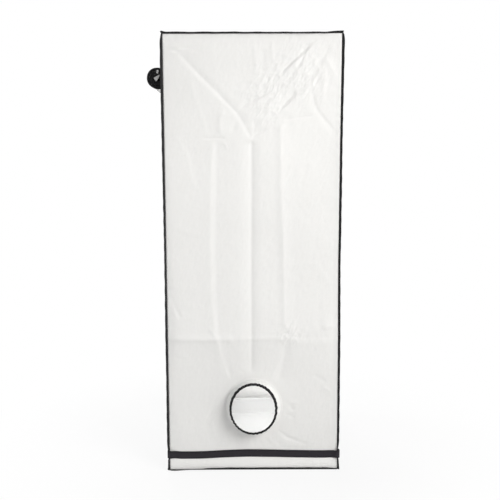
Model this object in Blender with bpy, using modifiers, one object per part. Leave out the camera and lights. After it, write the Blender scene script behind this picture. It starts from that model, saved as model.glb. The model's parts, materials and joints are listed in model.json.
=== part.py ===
"""An indoor grow tent: a white cloth box with black bound seams on a steel tube frame.

Run it with: blender --background --python part.py
Units are metres, +Z is up, and the origin is at the middle of the ground sheet's underside.
The door side faces -X, the back +X, the intake side -Y and the exhaust side +Y.
"""

import math

import bmesh
import bpy
from mathutils import Matrix, Vector

MM = 0.001

# Cloth box
tent_width = 600 * MM  # door side to back side
tent_depth = 600 * MM  # intake side to exhaust side
tent_height = 1520 * MM
cloth = 1.0 * MM
seat_gap = 0.3 * MM  # between pieces that touch
cut_overrun = 4 * MM  # how far a cutter runs past what it cuts
merge_distance = 0.01 * MM
sharp_angle = math.radians(35)  # edges bent more than this are shaded as edges

# Frame tubes and their moulded corners
tube_radius = 8 * MM
tube_wall = 0.8 * MM
tube_sides = 12
socket_wall = 2.7 * MM
socket_bead = 1.0 * MM  # the thicker ring at a socket's mouth
socket_bead_length = 6 * MM
socket_depth = 40 * MM
socket_floor = 12 * MM  # from the corner's centre to the end of a socket
socket_sides = 12
corner_rounding = 4 * MM
gusset_thickness = 3 * MM
gusset_leg = 34 * MM
post_joint_height = 760 * MM  # where an upper post stands on a lower one
swage_length = 60 * MM
swage_taper = 5 * MM

# Hanger bars, which slide on the top rails
hanger_spacing = 220 * MM
hook_width = 18 * MM
hook_wall = 3 * MM
hook_web = 2 * MM  # between the hook's ring and the end of the bar
hook_socket_depth = 25 * MM
hook_open_angle = math.radians(200)
hook_close_angle = math.radians(-25)
hook_steps = 12

# Cloth walls: folds left by the packing
fold_columns = 24
fold_rows = 17
plain_columns = 10
plain_rows = 8
wall_bow = 3 * MM  # how far a taut wall draws in at its middle
crease_depth = 5 * MM
crease_reach_share = 2.2 / 24
crease_left_share = -5 / 24
crease_right_share = 4 / 24
crease_foot_share = 5 / 17
crease_head_share = 13 / 17
crease_fade_share = 2 / 17
fold_still_share = 0.06  # cloth this near an edge lies flat
fold_free_share = 0.14
port_still = 14 * MM  # flat cloth round a port
port_free = 90 * MM
roof_sag = 2.5 * MM
roof_cells = 6

# Bound seams
binding_width = 11 * MM
binding_thickness = 2.4 * MM
binding_root = 0.5 * MM  # how far the binding reaches inside the box's sharp edge
binding_stations = 18
binding_wave = 1.2 * MM
binding_waves = 5
binding_lift = 0.4 * MM  # the lowest binding's clearance to the floor
binding_step = 4 * MM
binding_neck = 0.6 * MM  # what is left of a corner binding under the base band

# Base band, a webbing tape round the foot of the walls
band_height = 25 * MM
band_bottom = 43.5 * MM
band_thickness = 1.2 * MM
band_corner_lift = 2 * MM
band_corner_radius = 3 * MM
band_side_points = 12
band_corner_points = 4
band_lift_power = 10

# Duct sleeves
port_radius = 96 * MM
port_height_intake = 236 * MM
port_drop_exhaust = 236 * MM  # below the roof
port_sides = 28
sleeve_length = 38 * MM
sleeve_mouth_radius = 83 * MM
sleeve_mouth_stretch_share = 0.06  # how much taller than wide the mouth is
sleeve_mouth_rise = 6 * MM
sleeve_rings = 2
rim_width = 9 * MM
rim_thickness = 2.6 * MM
rim_lean = math.radians(45)

# Doorway and its zip
doorway_jamb = 36 * MM  # cloth left beside the doorway
doorway_sill = 100 * MM
header_height = 80 * MM
doorway_corner = 30 * MM
corner_points = 6
zip_bead_radius = 1.5 * MM
zip_bead_sides = 8
zip_bead_inset = 7 * MM  # the bead's line inside the doorway's edge
zip_tape_thickness = 1.0 * MM
zip_tape_lap = 14 * MM  # how far the tape lies on the wall

# Zip slider and its pull
slider_height = 16 * MM
slider_half_width = 7 * MM
slider_plate = 1.4 * MM
slider_channel = 4 * MM
slider_flange = 1.2 * MM
slider_wedge_height = 5 * MM
slider_wedge_width = 1.4 * MM
slider_rounding = 1.0 * MM
slider_top_gap = 4 * MM
arch_half_height = 5 * MM
arch_leg = 1.8 * MM
arch_tunnel = 3 * MM
arch_bar = 1.4 * MM
arch_width = 2.4 * MM
arch_sink = 0.5 * MM
pull_width = 9 * MM
pull_length = 32 * MM
pull_thickness = 1.6 * MM
pull_slot_width = 4 * MM
pull_slot_length = 7 * MM
pull_rounding = 3 * MM
pull_rounding_steps = 3

# Door, rolled up under the header
door_slider_room = 2.5 * MM  # between a slider's edge and the end of the roll
roll_radius = 36.7 * MM
roll_centre_out = 11 * MM  # outside the wall's face
roll_centre_drop = 62 * MM  # below the header's edge
roll_pitch = 2.6 * MM
roll_tape_thickness = 1.7 * MM
roll_tape_width = 12 * MM
roll_segments = 10
loose_turn = 3.0
loose_spread = 0.8
loose_gap = 3.0 * MM
loose_shift = 2.6 * MM
loose_direction = math.radians(235)

# Ties that hold the roll
tie_inset = 114 * MM  # a tie's middle from the doorway's side
tie_width = 20 * MM
tie_thickness = 1.2 * MM
tie_segments = 20
tie_lap = 20 * MM  # how far each end lies on the header
toggle_radius = 3.5 * MM
toggle_waist_radius = 2.4 * MM
toggle_length = 26 * MM
toggle_share = 0.35  # how far up the tie's free stretch
toggle_sides = 10
toggle_rings = 5

# Floor tray
tray_clearance = 4 * MM  # to the corners' sockets and gussets
tray_wall = 1.5 * MM
tray_height = 70 * MM
tray_corner = 18 * MM
tray_corner_steps = 4

# Worked out from the sizes above
half_width = tent_width / 2
half_depth = tent_depth / 2
seam = cloth + seat_gap
bore_radius = (tube_radius + seat_gap) / math.cos(math.pi / tube_sides)
socket_radius = bore_radius + socket_wall
bead_radius = socket_radius + socket_bead
corner_reach = socket_floor + socket_depth
gusset_root = socket_radius / 2
frame_inset = seam + bead_radius
post_x = half_width - frame_inset
post_y = half_depth - frame_inset
rail_low = frame_inset
rail_high = tent_height - frame_inset
doorway_top = tent_height - header_height
doorway_half = half_depth - doorway_jamb
tie_place = doorway_half - tie_inset
port_height_exhaust = tent_height - port_drop_exhaust
zip_line = half_width + seat_gap + zip_tape_thickness / 2
slider_line = doorway_half - zip_bead_inset - zip_bead_radius - seat_gap - slider_wedge_width / 2
roll_x = -half_width - roll_centre_out
roll_z = doorway_top - roll_centre_drop

SIDES = {
    "door_intake": (-1, -1),
    "back_intake": (1, -1),
    "back_exhaust": (1, 1),
    "door_exhaust": (-1, 1),
}


def clear_scene():
    for obj in list(bpy.data.objects):
        bpy.data.objects.remove(obj)


def collection(name):
    made = bpy.data.collections.new(name)
    bpy.context.scene.collection.children.link(made)
    return made


def material(name, colour, roughness, metallic=0.0):
    made = bpy.data.materials.new(name)
    made.use_nodes = True
    shader = made.node_tree.nodes["Principled BSDF"]
    shader.inputs["Base Color"].default_value = (*colour, 1)
    shader.inputs["Roughness"].default_value = roughness
    shader.inputs["Metallic"].default_value = metallic
    return made


clear_scene()
tent = collection("grow_tent")
cutters = collection("cutters")
cutters.hide_render = True

white_cloth = material("white_cloth", (0.80, 0.80, 0.78), 0.55)
black_tape = material("black_tape", (0.02, 0.02, 0.022), 0.75)
webbing = material("webbing", (0.028, 0.026, 0.032), 0.8)
tube_steel = material("tube_steel", (0.78, 0.78, 0.77), 0.35, 0.1)
moulding = material("moulding", (0.03, 0.03, 0.032), 0.45)
zip_metal = material("zip_metal", (0.05, 0.05, 0.055), 0.35, 0.8)
tray_sheet = material("tray_sheet", (0.74, 0.75, 0.74), 0.4)


def show(name, mesh, look, place=(0, 0, 0), turn=(0, 0, 0)):
    """Adds one sub-part of the tent, made of this mesh."""
    obj = bpy.data.objects.new(name, mesh)
    obj.location = place
    obj.rotation_euler = turn
    if not mesh.materials:
        mesh.materials.append(look)
        mesh.shade_smooth()
        mesh.set_sharp_from_angle(angle=sharp_angle)
    tent.objects.link(obj)
    return obj


def to_mesh(bm, name):
    mesh = bpy.data.meshes.new(name)
    bm.to_mesh(mesh)
    bm.free()
    return mesh


def block(size, centre=(0, 0, 0)):
    """A box of this size about its centre."""
    bm = bmesh.new()
    bmesh.ops.create_cube(bm, size=1)
    bmesh.ops.scale(bm, vec=Vector(size), verts=bm.verts)
    bmesh.ops.translate(bm, vec=Vector(centre), verts=bm.verts)
    return bm


def rounded_block(size, rounding, steps=1, edges=None):
    """A box about the origin with its edges rounded, all of them or those that a test picks."""
    bm = block(size)
    bmesh.ops.bevel(
        bm,
        geom=[e for e in bm.edges if edges is None or edges(e)],
        offset=rounding,
        offset_type="OFFSET",
        segments=steps,
        profile=0.5,
        affect="EDGES",
        material=-1,
    )
    return bm


def aim(bm, axis):
    """Turns a shape made along Z to lie along another axis."""
    turns = {"X": Matrix.Rotation(math.pi / 2, 3, "Y"), "Y": Matrix.Rotation(-math.pi / 2, 3, "X")}
    if axis in turns:
        bmesh.ops.rotate(bm, matrix=turns[axis], verts=bm.verts)
    return bm


def rod(radius, start, end, sides, axis="Z"):
    """A solid cylinder along one axis through the origin, from start to end."""
    bm = bmesh.new()
    bmesh.ops.create_cone(
        bm, cap_ends=True, segments=sides, radius1=radius, radius2=radius, depth=end - start
    )
    bmesh.ops.translate(bm, vec=Vector((0, 0, (start + end) / 2)), verts=bm.verts)
    return aim(bm, axis)


def solid_of_turning(profile, sides, axis):
    """A closed turning along an axis, from a profile of radius and height that goes upwards."""
    bm = bmesh.new()
    low, high = profile[0][1], profile[-1][1]
    points = [bm.verts.new((r, 0, z)) for r, z in [(0, low), *profile, (0, high)]]
    edges = [bm.edges.new(pair) for pair in zip(points, points[1:])]
    bmesh.ops.spin(
        bm,
        geom=points + edges,
        cent=(0, 0, 0),
        axis=(0, 0, 1),
        angle=2 * math.pi,
        steps=sides,
        use_merge=True,
    )
    bmesh.ops.remove_doubles(bm, verts=bm.verts, dist=merge_distance)
    bmesh.ops.recalc_face_normals(bm, faces=bm.faces)
    return aim(bm, axis)


def prism(outline, thickness, axis):
    """An outline, listed in order, made a plate about the plane through the origin square to axis."""
    bm = bmesh.new()
    half = thickness / 2
    if axis == "X":
        corners = [bm.verts.new((-half, a, b)) for a, b in outline]
        way = Vector((thickness, 0, 0))
    elif axis == "Y":
        corners = [bm.verts.new((a, -half, b)) for a, b in outline]
        way = Vector((0, thickness, 0))
    else:
        corners = [bm.verts.new((a, b, -half)) for a, b in outline]
        way = Vector((0, 0, thickness))
    face = bm.faces.new(corners)
    grown = bmesh.ops.extrude_face_region(bm, geom=[face])
    moved = [v for v in grown["geom"] if isinstance(v, bmesh.types.BMVert)]
    bmesh.ops.translate(bm, vec=way, verts=moved)
    bmesh.ops.recalc_face_normals(bm, faces=bm.faces)
    return bm


def combine(name, base, joined=(), cut=()):
    """One mesh of a base shape with others joined to it and then cut from it."""
    body = bpy.data.objects.new(name, to_mesh(base, name))
    bpy.context.scene.collection.objects.link(body)
    tools = []
    for kind, shapes in (("UNION", joined), ("DIFFERENCE", cut)):
        for shape in shapes:
            tool = bpy.data.objects.new(name + "_tool", to_mesh(shape, name + "_tool"))
            tool.hide_render = True
            tool.display_type = "WIRE"
            cutters.objects.link(tool)
            boolean = body.modifiers.new("cut", "BOOLEAN")
            boolean.operation = kind
            boolean.object = tool
            tools.append(tool)
    bpy.context.view_layer.update()
    seen = body.evaluated_get(bpy.context.evaluated_depsgraph_get())
    mesh = bpy.data.meshes.new_from_object(seen)
    mesh.name = name
    for obj in (body, *tools):
        bpy.data.objects.remove(obj)
    return mesh


def turned(name, profile, sides, look, place=(0, 0, 0), turn=(0, 0, 0)):
    """A ring-shaped turning: a closed profile of radius and height, going down its outer side."""
    bm = bmesh.new()
    points = [bm.verts.new((r, 0, z)) for r, z in profile]
    for a, b in zip(points, points[1:] + points[:1]):
        bm.edges.new((a, b))
    obj = show(name, to_mesh(bm, name), look, place, turn)
    screw = obj.modifiers.new("turn", "SCREW")
    screw.steps = sides
    screw.render_steps = sides
    screw.use_merge_vertices = True
    screw.merge_threshold = merge_distance
    screw.use_smooth_shade = True
    return obj


def sheet(name, bm, thickness, look, offset=0.0):
    """An open surface given its thickness: offset 0 both ways, -1 against its normals."""
    obj = show(name, to_mesh(bm, name), look)
    solid = obj.modifiers.new("thickness", "SOLIDIFY")
    solid.thickness = thickness
    solid.offset = offset
    solid.use_even_offset = True
    return obj


def smooth(t):
    t = min(max(t, 0.0), 1.0)
    return t * t * (3 - 2 * t)


# Frame: eight moulded corners


def socket_profile():
    """A socket from the corner's middle outwards: its wall, and the bead round its mouth."""
    root = -corner_rounding
    bead_start = corner_reach - socket_bead_length
    return [
        (socket_radius, root),
        (socket_radius, bead_start - socket_bead),
        (bead_radius, bead_start),
        (bead_radius, corner_reach),
    ]


def corner_mesh():
    """Three sockets square to each other, out of one rounded block, stiffened by gussets."""
    core = rounded_block((2 * bead_radius,) * 3, corner_rounding)
    gusset = [(gusset_root, gusset_root), (gusset_leg, gusset_root), (gusset_root, gusset_leg)]
    arms = [solid_of_turning(socket_profile(), socket_sides, axis) for axis in "XYZ"]
    gussets = [prism(gusset, gusset_thickness, axis) for axis in "XYZ"]
    end = corner_reach + cut_overrun
    bores = [rod(bore_radius, socket_floor, end, tube_sides, axis) for axis in "XYZ"]
    return combine("corner", core, arms + gussets, bores)


def add_corners():
    mesh = corner_mesh()
    quarter = {(-1, -1): 0, (1, -1): 1, (1, 1): 2, (-1, 1): 3}
    for side, (sx, sy) in SIDES.items():
        spin = quarter[(sx, sy)] * math.pi / 2
        place = (sx * post_x, sy * post_y)
        show("corner_bottom_" + side, mesh, moulding, (*place, rail_low), (0, 0, spin))
        top = spin + math.pi / 2
        show("corner_top_" + side, mesh, moulding, (*place, rail_high), (math.pi, 0, top))


# Frame: posts and rails


def tube_profile(start, end):
    inner = tube_radius - tube_wall
    return [(tube_radius, end), (tube_radius, start), (inner, start), (inner, end)]


def swaged_profile(start, joint):
    """A post whose top is drawn down to slide inside the post above."""
    inner = tube_radius - tube_wall
    neck = inner * math.cos(math.pi / tube_sides) - seat_gap
    neck_inner = neck - tube_wall
    top = joint + swage_length
    shoulder = joint - swage_taper
    return [
        (neck, top),
        (neck, joint),
        (tube_radius, shoulder),
        (tube_radius, start),
        (inner, start),
        (inner, shoulder),
        (neck_inner, joint),
        (neck_inner, top),
    ]


def add_posts():
    foot = rail_low + socket_floor + seat_gap
    head = rail_high - socket_floor - seat_gap
    lower = swaged_profile(foot, post_joint_height)
    upper = tube_profile(post_joint_height + seat_gap, head)
    for side, (sx, sy) in SIDES.items():
        place = (sx * post_x, sy * post_y, 0)
        turned("post_lower_" + side, lower, tube_sides, tube_steel, place)
        turned("post_upper_" + side, upper, tube_sides, tube_steel, place)


def add_rails():
    along_x = post_x - socket_floor - seat_gap
    along_y = post_y - socket_floor - seat_gap
    for level, height in (("bottom", rail_low), ("top", rail_high)):
        for side, sy in (("intake", -1), ("exhaust", 1)):
            place = (0, sy * post_y, height)
            name = f"rail_{level}_{side}"
            turned(name, tube_profile(-along_x, along_x), tube_sides, tube_steel, place, (0, math.pi / 2, 0))
        for side, sx in (("door", -1), ("back", 1)):
            place = (sx * post_x, 0, height)
            name = f"rail_{level}_{side}"
            turned(name, tube_profile(-along_y, along_y), tube_sides, tube_steel, place, (math.pi / 2, 0, 0))


# Hanger bars


def hook_mesh():
    """A snap hook over the rail at the origin, with a socket for the bar towards +Y."""
    sweep = hook_open_angle - hook_close_angle
    step = sweep / hook_steps
    inner = (tube_radius + seat_gap) / math.cos(step / 2)
    outer = inner + hook_wall
    angles = [hook_close_angle + step * i for i in range(hook_steps + 1)]
    outline = [(outer * math.cos(a), outer * math.sin(a)) for a in angles]
    outline += [(inner * math.cos(a), inner * math.sin(a)) for a in reversed(angles)]
    ring = prism(outline, hook_width, "X")
    stop = outer + hook_web
    mouth = stop + hook_socket_depth
    joined = [rod(socket_radius, (inner + outer) / 2, mouth, socket_sides, "Y")]
    cut = [rod(bore_radius, stop, mouth + cut_overrun, tube_sides, "Y")]
    return combine("hook", ring, joined, cut), stop


def add_hangers():
    mesh, stop = hook_mesh()
    reach = post_y - stop - seat_gap
    profile = tube_profile(-reach, reach)
    for side, sx in (("door", -1), ("back", 1)):
        x = sx * hanger_spacing / 2
        turned("hanger_bar_" + side, profile, tube_sides, tube_steel, (x, 0, rail_high), (math.pi / 2, 0, 0))
        for end, sy, turn in (("intake", -1, 0), ("exhaust", 1, math.pi)):
            show(f"hanger_hook_{side}_{end}", mesh, moulding, (x, sy * post_y, rail_high), (0, 0, turn))


# Cloth walls


def crease(across, up, line, low, high):
    """How strongly a vertical packing crease shows at a place, from 0 to 1."""
    beside = max(0.0, 1 - abs(across - line) / crease_reach_share)
    above = smooth((up - low) / crease_fade_share)
    below = smooth((high - up) / crease_fade_share)
    return beside * above * below


def wall_offset(across, up, folded, port):
    """How far the cloth stands out of the wall's plane: outwards is positive."""
    middle = math.cos(math.pi * across) * math.sin(math.pi * up)
    out = -wall_bow * middle
    foot = crease_foot_share
    head = crease_head_share
    out -= crease_depth * crease(across, up, 0, 0, head + crease_fade_share)
    if folded:
        out -= crease_depth * crease(across, up, crease_left_share, foot - crease_fade_share, head)
        out += crease_depth * crease(across, up, crease_right_share, foot - crease_fade_share, head)
        out += crease_depth / 2 * max(0.0, 1 - abs(up - foot) / crease_fade_share)
    side = smooth((0.5 - abs(across) - fold_still_share) / fold_free_share)
    end = smooth((0.5 - abs(up - 0.5) - fold_still_share) / fold_free_share)
    if port is not None:
        side *= smooth((port - port_radius - port_still) / port_free)
    return out * side * end


def add_wall(name, span, columns, rows, port_height=None, folded=False, turn=0.0, reach=0.0):
    """A sewn cloth wall. It is made facing -Y and then turned about Z to its side."""
    low = seam
    high = tent_height - seam
    width = span - 2 * seam
    bm = bmesh.new()
    bmesh.ops.create_grid(bm, x_segments=columns, y_segments=rows, size=0.5)
    for v in bm.verts:
        across, up = v.co.x, v.co.y + 0.5
        x = across * width
        z = low + up * (high - low)
        port = None if port_height is None else math.hypot(x, z - port_height)
        v.co = Vector((x, -wall_offset(across, up, folded, port) - reach, z))
    bmesh.ops.rotate(bm, matrix=Matrix.Rotation(turn, 3, "Z"), verts=bm.verts)
    obj = sheet(name, bm, cloth, white_cloth, -1.0)
    if port_height is None:
        return obj
    hole = rod(port_radius + seat_gap, reach - port_radius, reach + port_radius, port_sides, "Y")
    bmesh.ops.translate(hole, vec=Vector((0, 0, port_height)), verts=hole.verts)
    bmesh.ops.rotate(hole, matrix=Matrix.Rotation(turn + math.pi, 3, "Z"), verts=hole.verts)
    tool = bpy.data.objects.new(name + "_hole", to_mesh(hole, name + "_hole"))
    tool.hide_render = True
    tool.display_type = "WIRE"
    cutters.objects.link(tool)
    boolean = obj.modifiers.new("port", "BOOLEAN")
    boolean.operation = "DIFFERENCE"
    boolean.object = tool
    return obj


def add_walls():
    add_wall(
        "wall_intake", tent_width, fold_columns, fold_rows, port_height_intake, True, 0, half_depth
    )
    add_wall(
        "wall_exhaust",
        tent_width,
        plain_columns,
        plain_rows,
        port_height_exhaust,
        False,
        math.pi,
        half_depth,
    )
    add_wall("wall_back", tent_depth, plain_columns, plain_rows, turn=math.pi / 2, reach=half_width)


def doorway_path(inset, top):
    """The doorway's two sides and its foot, with rounded lower corners, set in by this much."""
    half = doorway_half - inset
    foot = doorway_sill + inset
    radius = doorway_corner - inset
    points = [(-half, top)]
    for i in range(corner_points + 1):
        angle = math.pi + math.pi / 2 * i / corner_points
        y = -half + radius + radius * math.cos(angle)
        points.append((y, foot + radius + radius * math.sin(angle)))
    mirrored = [(-y, z) for y, z in reversed(points)]
    return points + mirrored


def add_door_wall():
    """The wall round the doorway: a header, two narrow sides and a low sill in one cloth."""
    width = tent_depth - 2 * seam
    plate = block((cloth, width, tent_height - 2 * seam), (-half_width + cloth / 2, 0, tent_height / 2))
    hole = prism(doorway_path(0, doorway_top), cloth + 2 * cut_overrun, "X")
    bmesh.ops.translate(hole, vec=Vector((-half_width, 0, 0)), verts=hole.verts)
    show("wall_door", combine("wall_door", plate, cut=[hole]), white_cloth)


def add_roof_and_ground():
    bm = bmesh.new()
    bmesh.ops.create_grid(bm, x_segments=roof_cells, y_segments=roof_cells, size=0.5)
    for v in bm.verts:
        slack = (1 - (2 * v.co.x) ** 2) * (1 - (2 * v.co.y) ** 2)
        place = (v.co.x * (tent_width - 2 * seam), v.co.y * (tent_depth - 2 * seam))
        v.co = Vector((*place, tent_height - roof_sag * slack))
    sheet("roof_panel", bm, cloth, white_cloth, -1.0)
    size = (tent_width - 2 * seam, tent_depth - 2 * seam, cloth)
    show("ground_sheet", to_mesh(block(size, (0, 0, cloth / 2)), "ground_sheet"), tray_sheet)


# Bound seams along the edges of the box


def binding_reach(height):
    """A corner binding's width at a height: it is pressed flat under the base band."""
    below = band_bottom - binding_step
    above = band_bottom + band_height + binding_step
    if below < height < above:
        return binding_neck
    return binding_width


def add_corner_bindings():
    low = binding_lift + binding_thickness + 2 * seat_gap
    high = tent_height - binding_step
    neck_low = band_bottom - binding_step
    neck_high = band_bottom + band_height + binding_step
    free = [neck_high + binding_step + (high - neck_high - binding_step) * i / binding_stations
            for i in range(binding_stations + 1)]
    heights = [low, neck_low - binding_step, neck_low + merge_distance, neck_high - merge_distance, *free]
    for side, (sx, sy) in SIDES.items():
        out = Vector((sx, sy, 0)).normalized()
        across = Vector((-sy, sx, 0)).normalized()
        bm = bmesh.new()
        bmesh.ops.create_grid(bm, x_segments=1, y_segments=len(heights) - 1, size=0.5)
        for v in bm.verts:
            row = round((v.co.y + 0.5) * (len(heights) - 1))
            height = heights[row]
            tip = v.co.x > 0
            u = binding_reach(height) if tip else -binding_root
            phase = 2 * math.pi * binding_waves * height / tent_height
            wave = binding_wave * math.sin(phase) if tip and u == binding_width else 0.0
            v.co = Vector((sx * half_width, sy * half_depth, height)) + out * u + across * wave
        sheet("binding_" + side, bm, binding_thickness, black_tape)


def square_strip(name, inner, outer, low, high):
    """A strip of binding round the box, from an inner square to an outer one."""
    bm = bmesh.new()
    rings = []
    for (x, y), z in ((inner, low), (outer, high)):
        corners = [(-x, -y), (x, -y), (x, y), (-x, y)]
        rings.append([bm.verts.new((a, b, z)) for a, b in corners])
    for i in range(4):
        j = (i + 1) % 4
        bm.faces.new((rings[0][i], rings[0][j], rings[1][j], rings[1][i]))
    sheet(name, bm, binding_thickness, black_tape)


def add_edge_bindings():
    inward = binding_root / math.sqrt(2)
    outward = binding_width / math.sqrt(2)
    square_strip(
        "binding_roof",
        (half_width - inward, half_depth - inward),
        (half_width + outward, half_depth + outward),
        tent_height - inward,
        tent_height + outward,
    )
    level = binding_lift + binding_thickness / 2
    square_strip(
        "binding_ground",
        (half_width + seat_gap, half_depth + seat_gap),
        (half_width + binding_width, half_depth + binding_width),
        level,
        level,
    )


# Base band


def band_path():
    """The band's line round the box, seen from above: flat on the walls, proud at the corners."""
    corner_offset = seat_gap + band_thickness / 2 + band_corner_lift
    points = []
    for turn in range(4):
        half, far = (half_width, half_depth) if turn % 2 else (half_depth, half_width)
        for i in range(band_side_points + 1):
            t = 2 * i / band_side_points - 1
            lift = band_corner_lift * abs(t) ** band_lift_power
            along = t * (half + corner_offset - band_corner_radius)
            point = Vector((far + seat_gap + band_thickness / 2 + lift, along))
            points.append(Matrix.Rotation(turn * math.pi / 2, 2) @ point)
        for i in range(1, band_corner_points):
            angle = math.pi / 2 * i / band_corner_points
            reach = band_corner_radius
            centre = Vector((far + corner_offset - reach, half + corner_offset - reach))
            point = centre + reach * Vector((math.cos(angle), math.sin(angle)))
            points.append(Matrix.Rotation(turn * math.pi / 2, 2) @ point)
    return points


def add_base_band():
    path = band_path()
    bm = bmesh.new()
    rows = []
    for z in (band_bottom, band_bottom + band_height):
        rows.append([bm.verts.new((p.x, p.y, z)) for p in path])
    for i in range(len(path)):
        j = (i + 1) % len(path)
        bm.faces.new((rows[0][i], rows[0][j], rows[1][j], rows[1][i]))
    sheet("base_band", bm, band_thickness, webbing)


# Duct sleeves


def stretch_mouth(verts, port_height):
    """Makes a sleeve's free end a little taller than wide, and lifts it."""
    for v in verts:
        share = smooth((-v.co.y) / sleeve_length)
        v.co.z = v.co.z * (1 + sleeve_mouth_stretch_share * share) + sleeve_mouth_rise * share
        v.co.z += port_height


def swept_ring(profile):
    """A surface spun about Y from a profile of radius and reach."""
    bm = bmesh.new()
    points = [bm.verts.new((r, -reach, 0)) for r, reach in profile]
    edges = [bm.edges.new(pair) for pair in zip(points, points[1:])]
    bmesh.ops.spin(
        bm,
        geom=points + edges,
        cent=(0, 0, 0),
        axis=(0, 1, 0),
        angle=2 * math.pi,
        steps=port_sides,
        use_merge=True,
    )
    bmesh.ops.recalc_face_normals(bm, faces=bm.faces)
    return bm


def add_sleeve(side, port_height, turn):
    """A tapering cloth collar in its port, with a bound elastic mouth."""
    spin = Matrix.Rotation(turn, 3, "Z")
    out = Vector((0, -half_depth, 0))
    profile = []
    for i in range(sleeve_rings + 1):
        t = i / sleeve_rings
        radius = port_radius + (sleeve_mouth_radius - port_radius) * t - cloth / 2
        profile.append((radius, sleeve_length * t - cloth * (1 - t)))
    lean = Vector((-math.cos(rim_lean), math.sin(rim_lean)))
    outer_face = Vector((math.sin(rim_lean), math.cos(rim_lean)))
    root = Vector(profile[-1]) + Vector((0, seat_gap)) + outer_face * rim_thickness / 2
    rim_profile = [tuple(root), tuple(root + lean * rim_width)]
    pieces = (
        ("sleeve_" + side, profile, cloth, white_cloth),
        ("sleeve_" + side + "_rim", rim_profile, rim_thickness, black_tape),
    )
    for name, line, thickness, look in pieces:
        bm = swept_ring(line)
        stretch_mouth(bm.verts, port_height)
        bmesh.ops.translate(bm, vec=out, verts=bm.verts)
        bmesh.ops.rotate(bm, matrix=spin, verts=bm.verts)
        sheet(name, bm, thickness, look)


# Rolled door


def tangent_angle(point, radius):
    """Where a line from point meets the roll, on its side away from the door."""
    away = Vector(point) - Vector((roll_x, roll_z))
    return math.atan2(away.y, away.x) - math.acos(radius / away.length)


def roll_point(turn, start_angle, radius):
    """The door's mid-line in the roll, this many turns in from the outside."""
    angle = start_angle - 2 * math.pi * turn
    loose = smooth((turn - loose_turn) / loose_spread)
    reach = radius - roll_pitch * turn - loose_gap * loose
    shift = loose_shift * loose
    x = roll_x + shift * math.cos(loose_direction) + reach * math.cos(angle)
    z = roll_z + shift * math.sin(loose_direction) + reach * math.sin(angle)
    return Vector((x, z))


def roll_path():
    """The whole door from its seam under the header to its free end inside the roll."""
    seam_point = Vector((-half_width + cloth / 2, doorway_top - seat_gap))
    radius = roll_radius - roll_tape_thickness / 2
    start_angle = tangent_angle(seam_point, radius)
    points = [seam_point]
    length = doorway_top - doorway_sill
    step = 0
    while length > 0:
        point = roll_point(step / roll_segments, start_angle, radius)
        length -= (point - points[-1]).length
        points.append(point)
        step += 1
    turns = points[1:]
    ahead = roll_segments
    pitch = min((a - b).length for a, b in zip(turns, turns[ahead:])) * math.cos(math.pi / roll_segments)
    gap = (pitch - roll_tape_thickness) / MM
    print(f"door roll: {step / roll_segments:.1f} turns, least gap to itself {gap:.2f} mm")
    return points


def ribbon(name, path, start, end, thickness, look):
    """A strip that follows a path in the XZ plane, as wide as from start to end along Y."""
    bm = bmesh.new()
    rows = [[bm.verts.new((p.x, y, p.y)) for p in path] for y in (start, end)]
    for i in range(len(path) - 1):
        bm.faces.new((rows[0][i], rows[0][i + 1], rows[1][i + 1], rows[1][i]))
    return sheet(name, bm, thickness, look)


def add_rolled_door():
    path = roll_path()
    end = slider_line - slider_half_width - door_slider_room
    inner = end - roll_tape_width
    ribbon("door_roll", path, -inner + seat_gap, inner - seat_gap, cloth, white_cloth)
    ribbon("door_roll_tape_intake", path, -end, -inner, roll_tape_thickness, black_tape)
    ribbon("door_roll_tape_exhaust", path, inner, end, roll_tape_thickness, black_tape)


def tie_path():
    """A tie's line: down the header's outside, round the roll, and up the header's inside."""
    radius = roll_radius + seat_gap + tie_thickness / 2
    outside = Vector((-half_width - seat_gap - tie_thickness / 2, doorway_top))
    inside = Vector((-half_width + cloth + seat_gap + tie_thickness / 2, doorway_top))
    centre = Vector((roll_x, roll_z))
    away = outside - centre
    first = math.atan2(away.y, away.x) + math.acos(radius / away.length)
    last = tangent_angle(inside, radius) + 2 * math.pi
    path = [outside + Vector((0, tie_lap)), outside]
    for i in range(tie_segments + 1):
        angle = first + (last - first) * i / tie_segments
        path.append(centre + radius * Vector((math.cos(angle), math.sin(angle))))
    return [*path, inside, inside + Vector((0, tie_lap))]


def toggle_mesh():
    """A barrel toggle, lying along Y, with a waist for its loop."""
    barrel = rod(toggle_waist_radius, -toggle_length / 2, toggle_length / 2, toggle_sides, "Y")
    long_edges = [e for e in barrel.edges if e.calc_length() > toggle_length / 2]
    bmesh.ops.subdivide_edges(barrel, edges=long_edges, cuts=toggle_rings)
    for v in barrel.verts:
        bulge = math.sin(2 * math.pi * v.co.y / toggle_length) ** 2
        growth = 1 + (toggle_radius / toggle_waist_radius - 1) * bulge
        v.co = Vector((v.co.x * growth, v.co.y, v.co.z * growth))
    return to_mesh(barrel, "toggle")


def add_ties():
    """Two webbing ties round the roll, each with its toggle where it leaves the header."""
    path = tie_path()
    toggle = toggle_mesh()
    top, low = path[1], path[2]
    outwards = Vector((low.y - top.y, top.x - low.x)).normalized()
    seat = low.lerp(top, toggle_share) + outwards * (tie_thickness / 2 + seat_gap + toggle_radius)
    for side, sy in (("intake", -1), ("exhaust", 1)):
        middle = sy * tie_place
        start = middle - tie_width / 2
        ribbon("door_tie_" + side, path, start, start + tie_width, tie_thickness, webbing)
        show("door_tie_toggle_" + side, toggle, moulding, (seat.x, middle, seat.y))


# Zip


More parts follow.
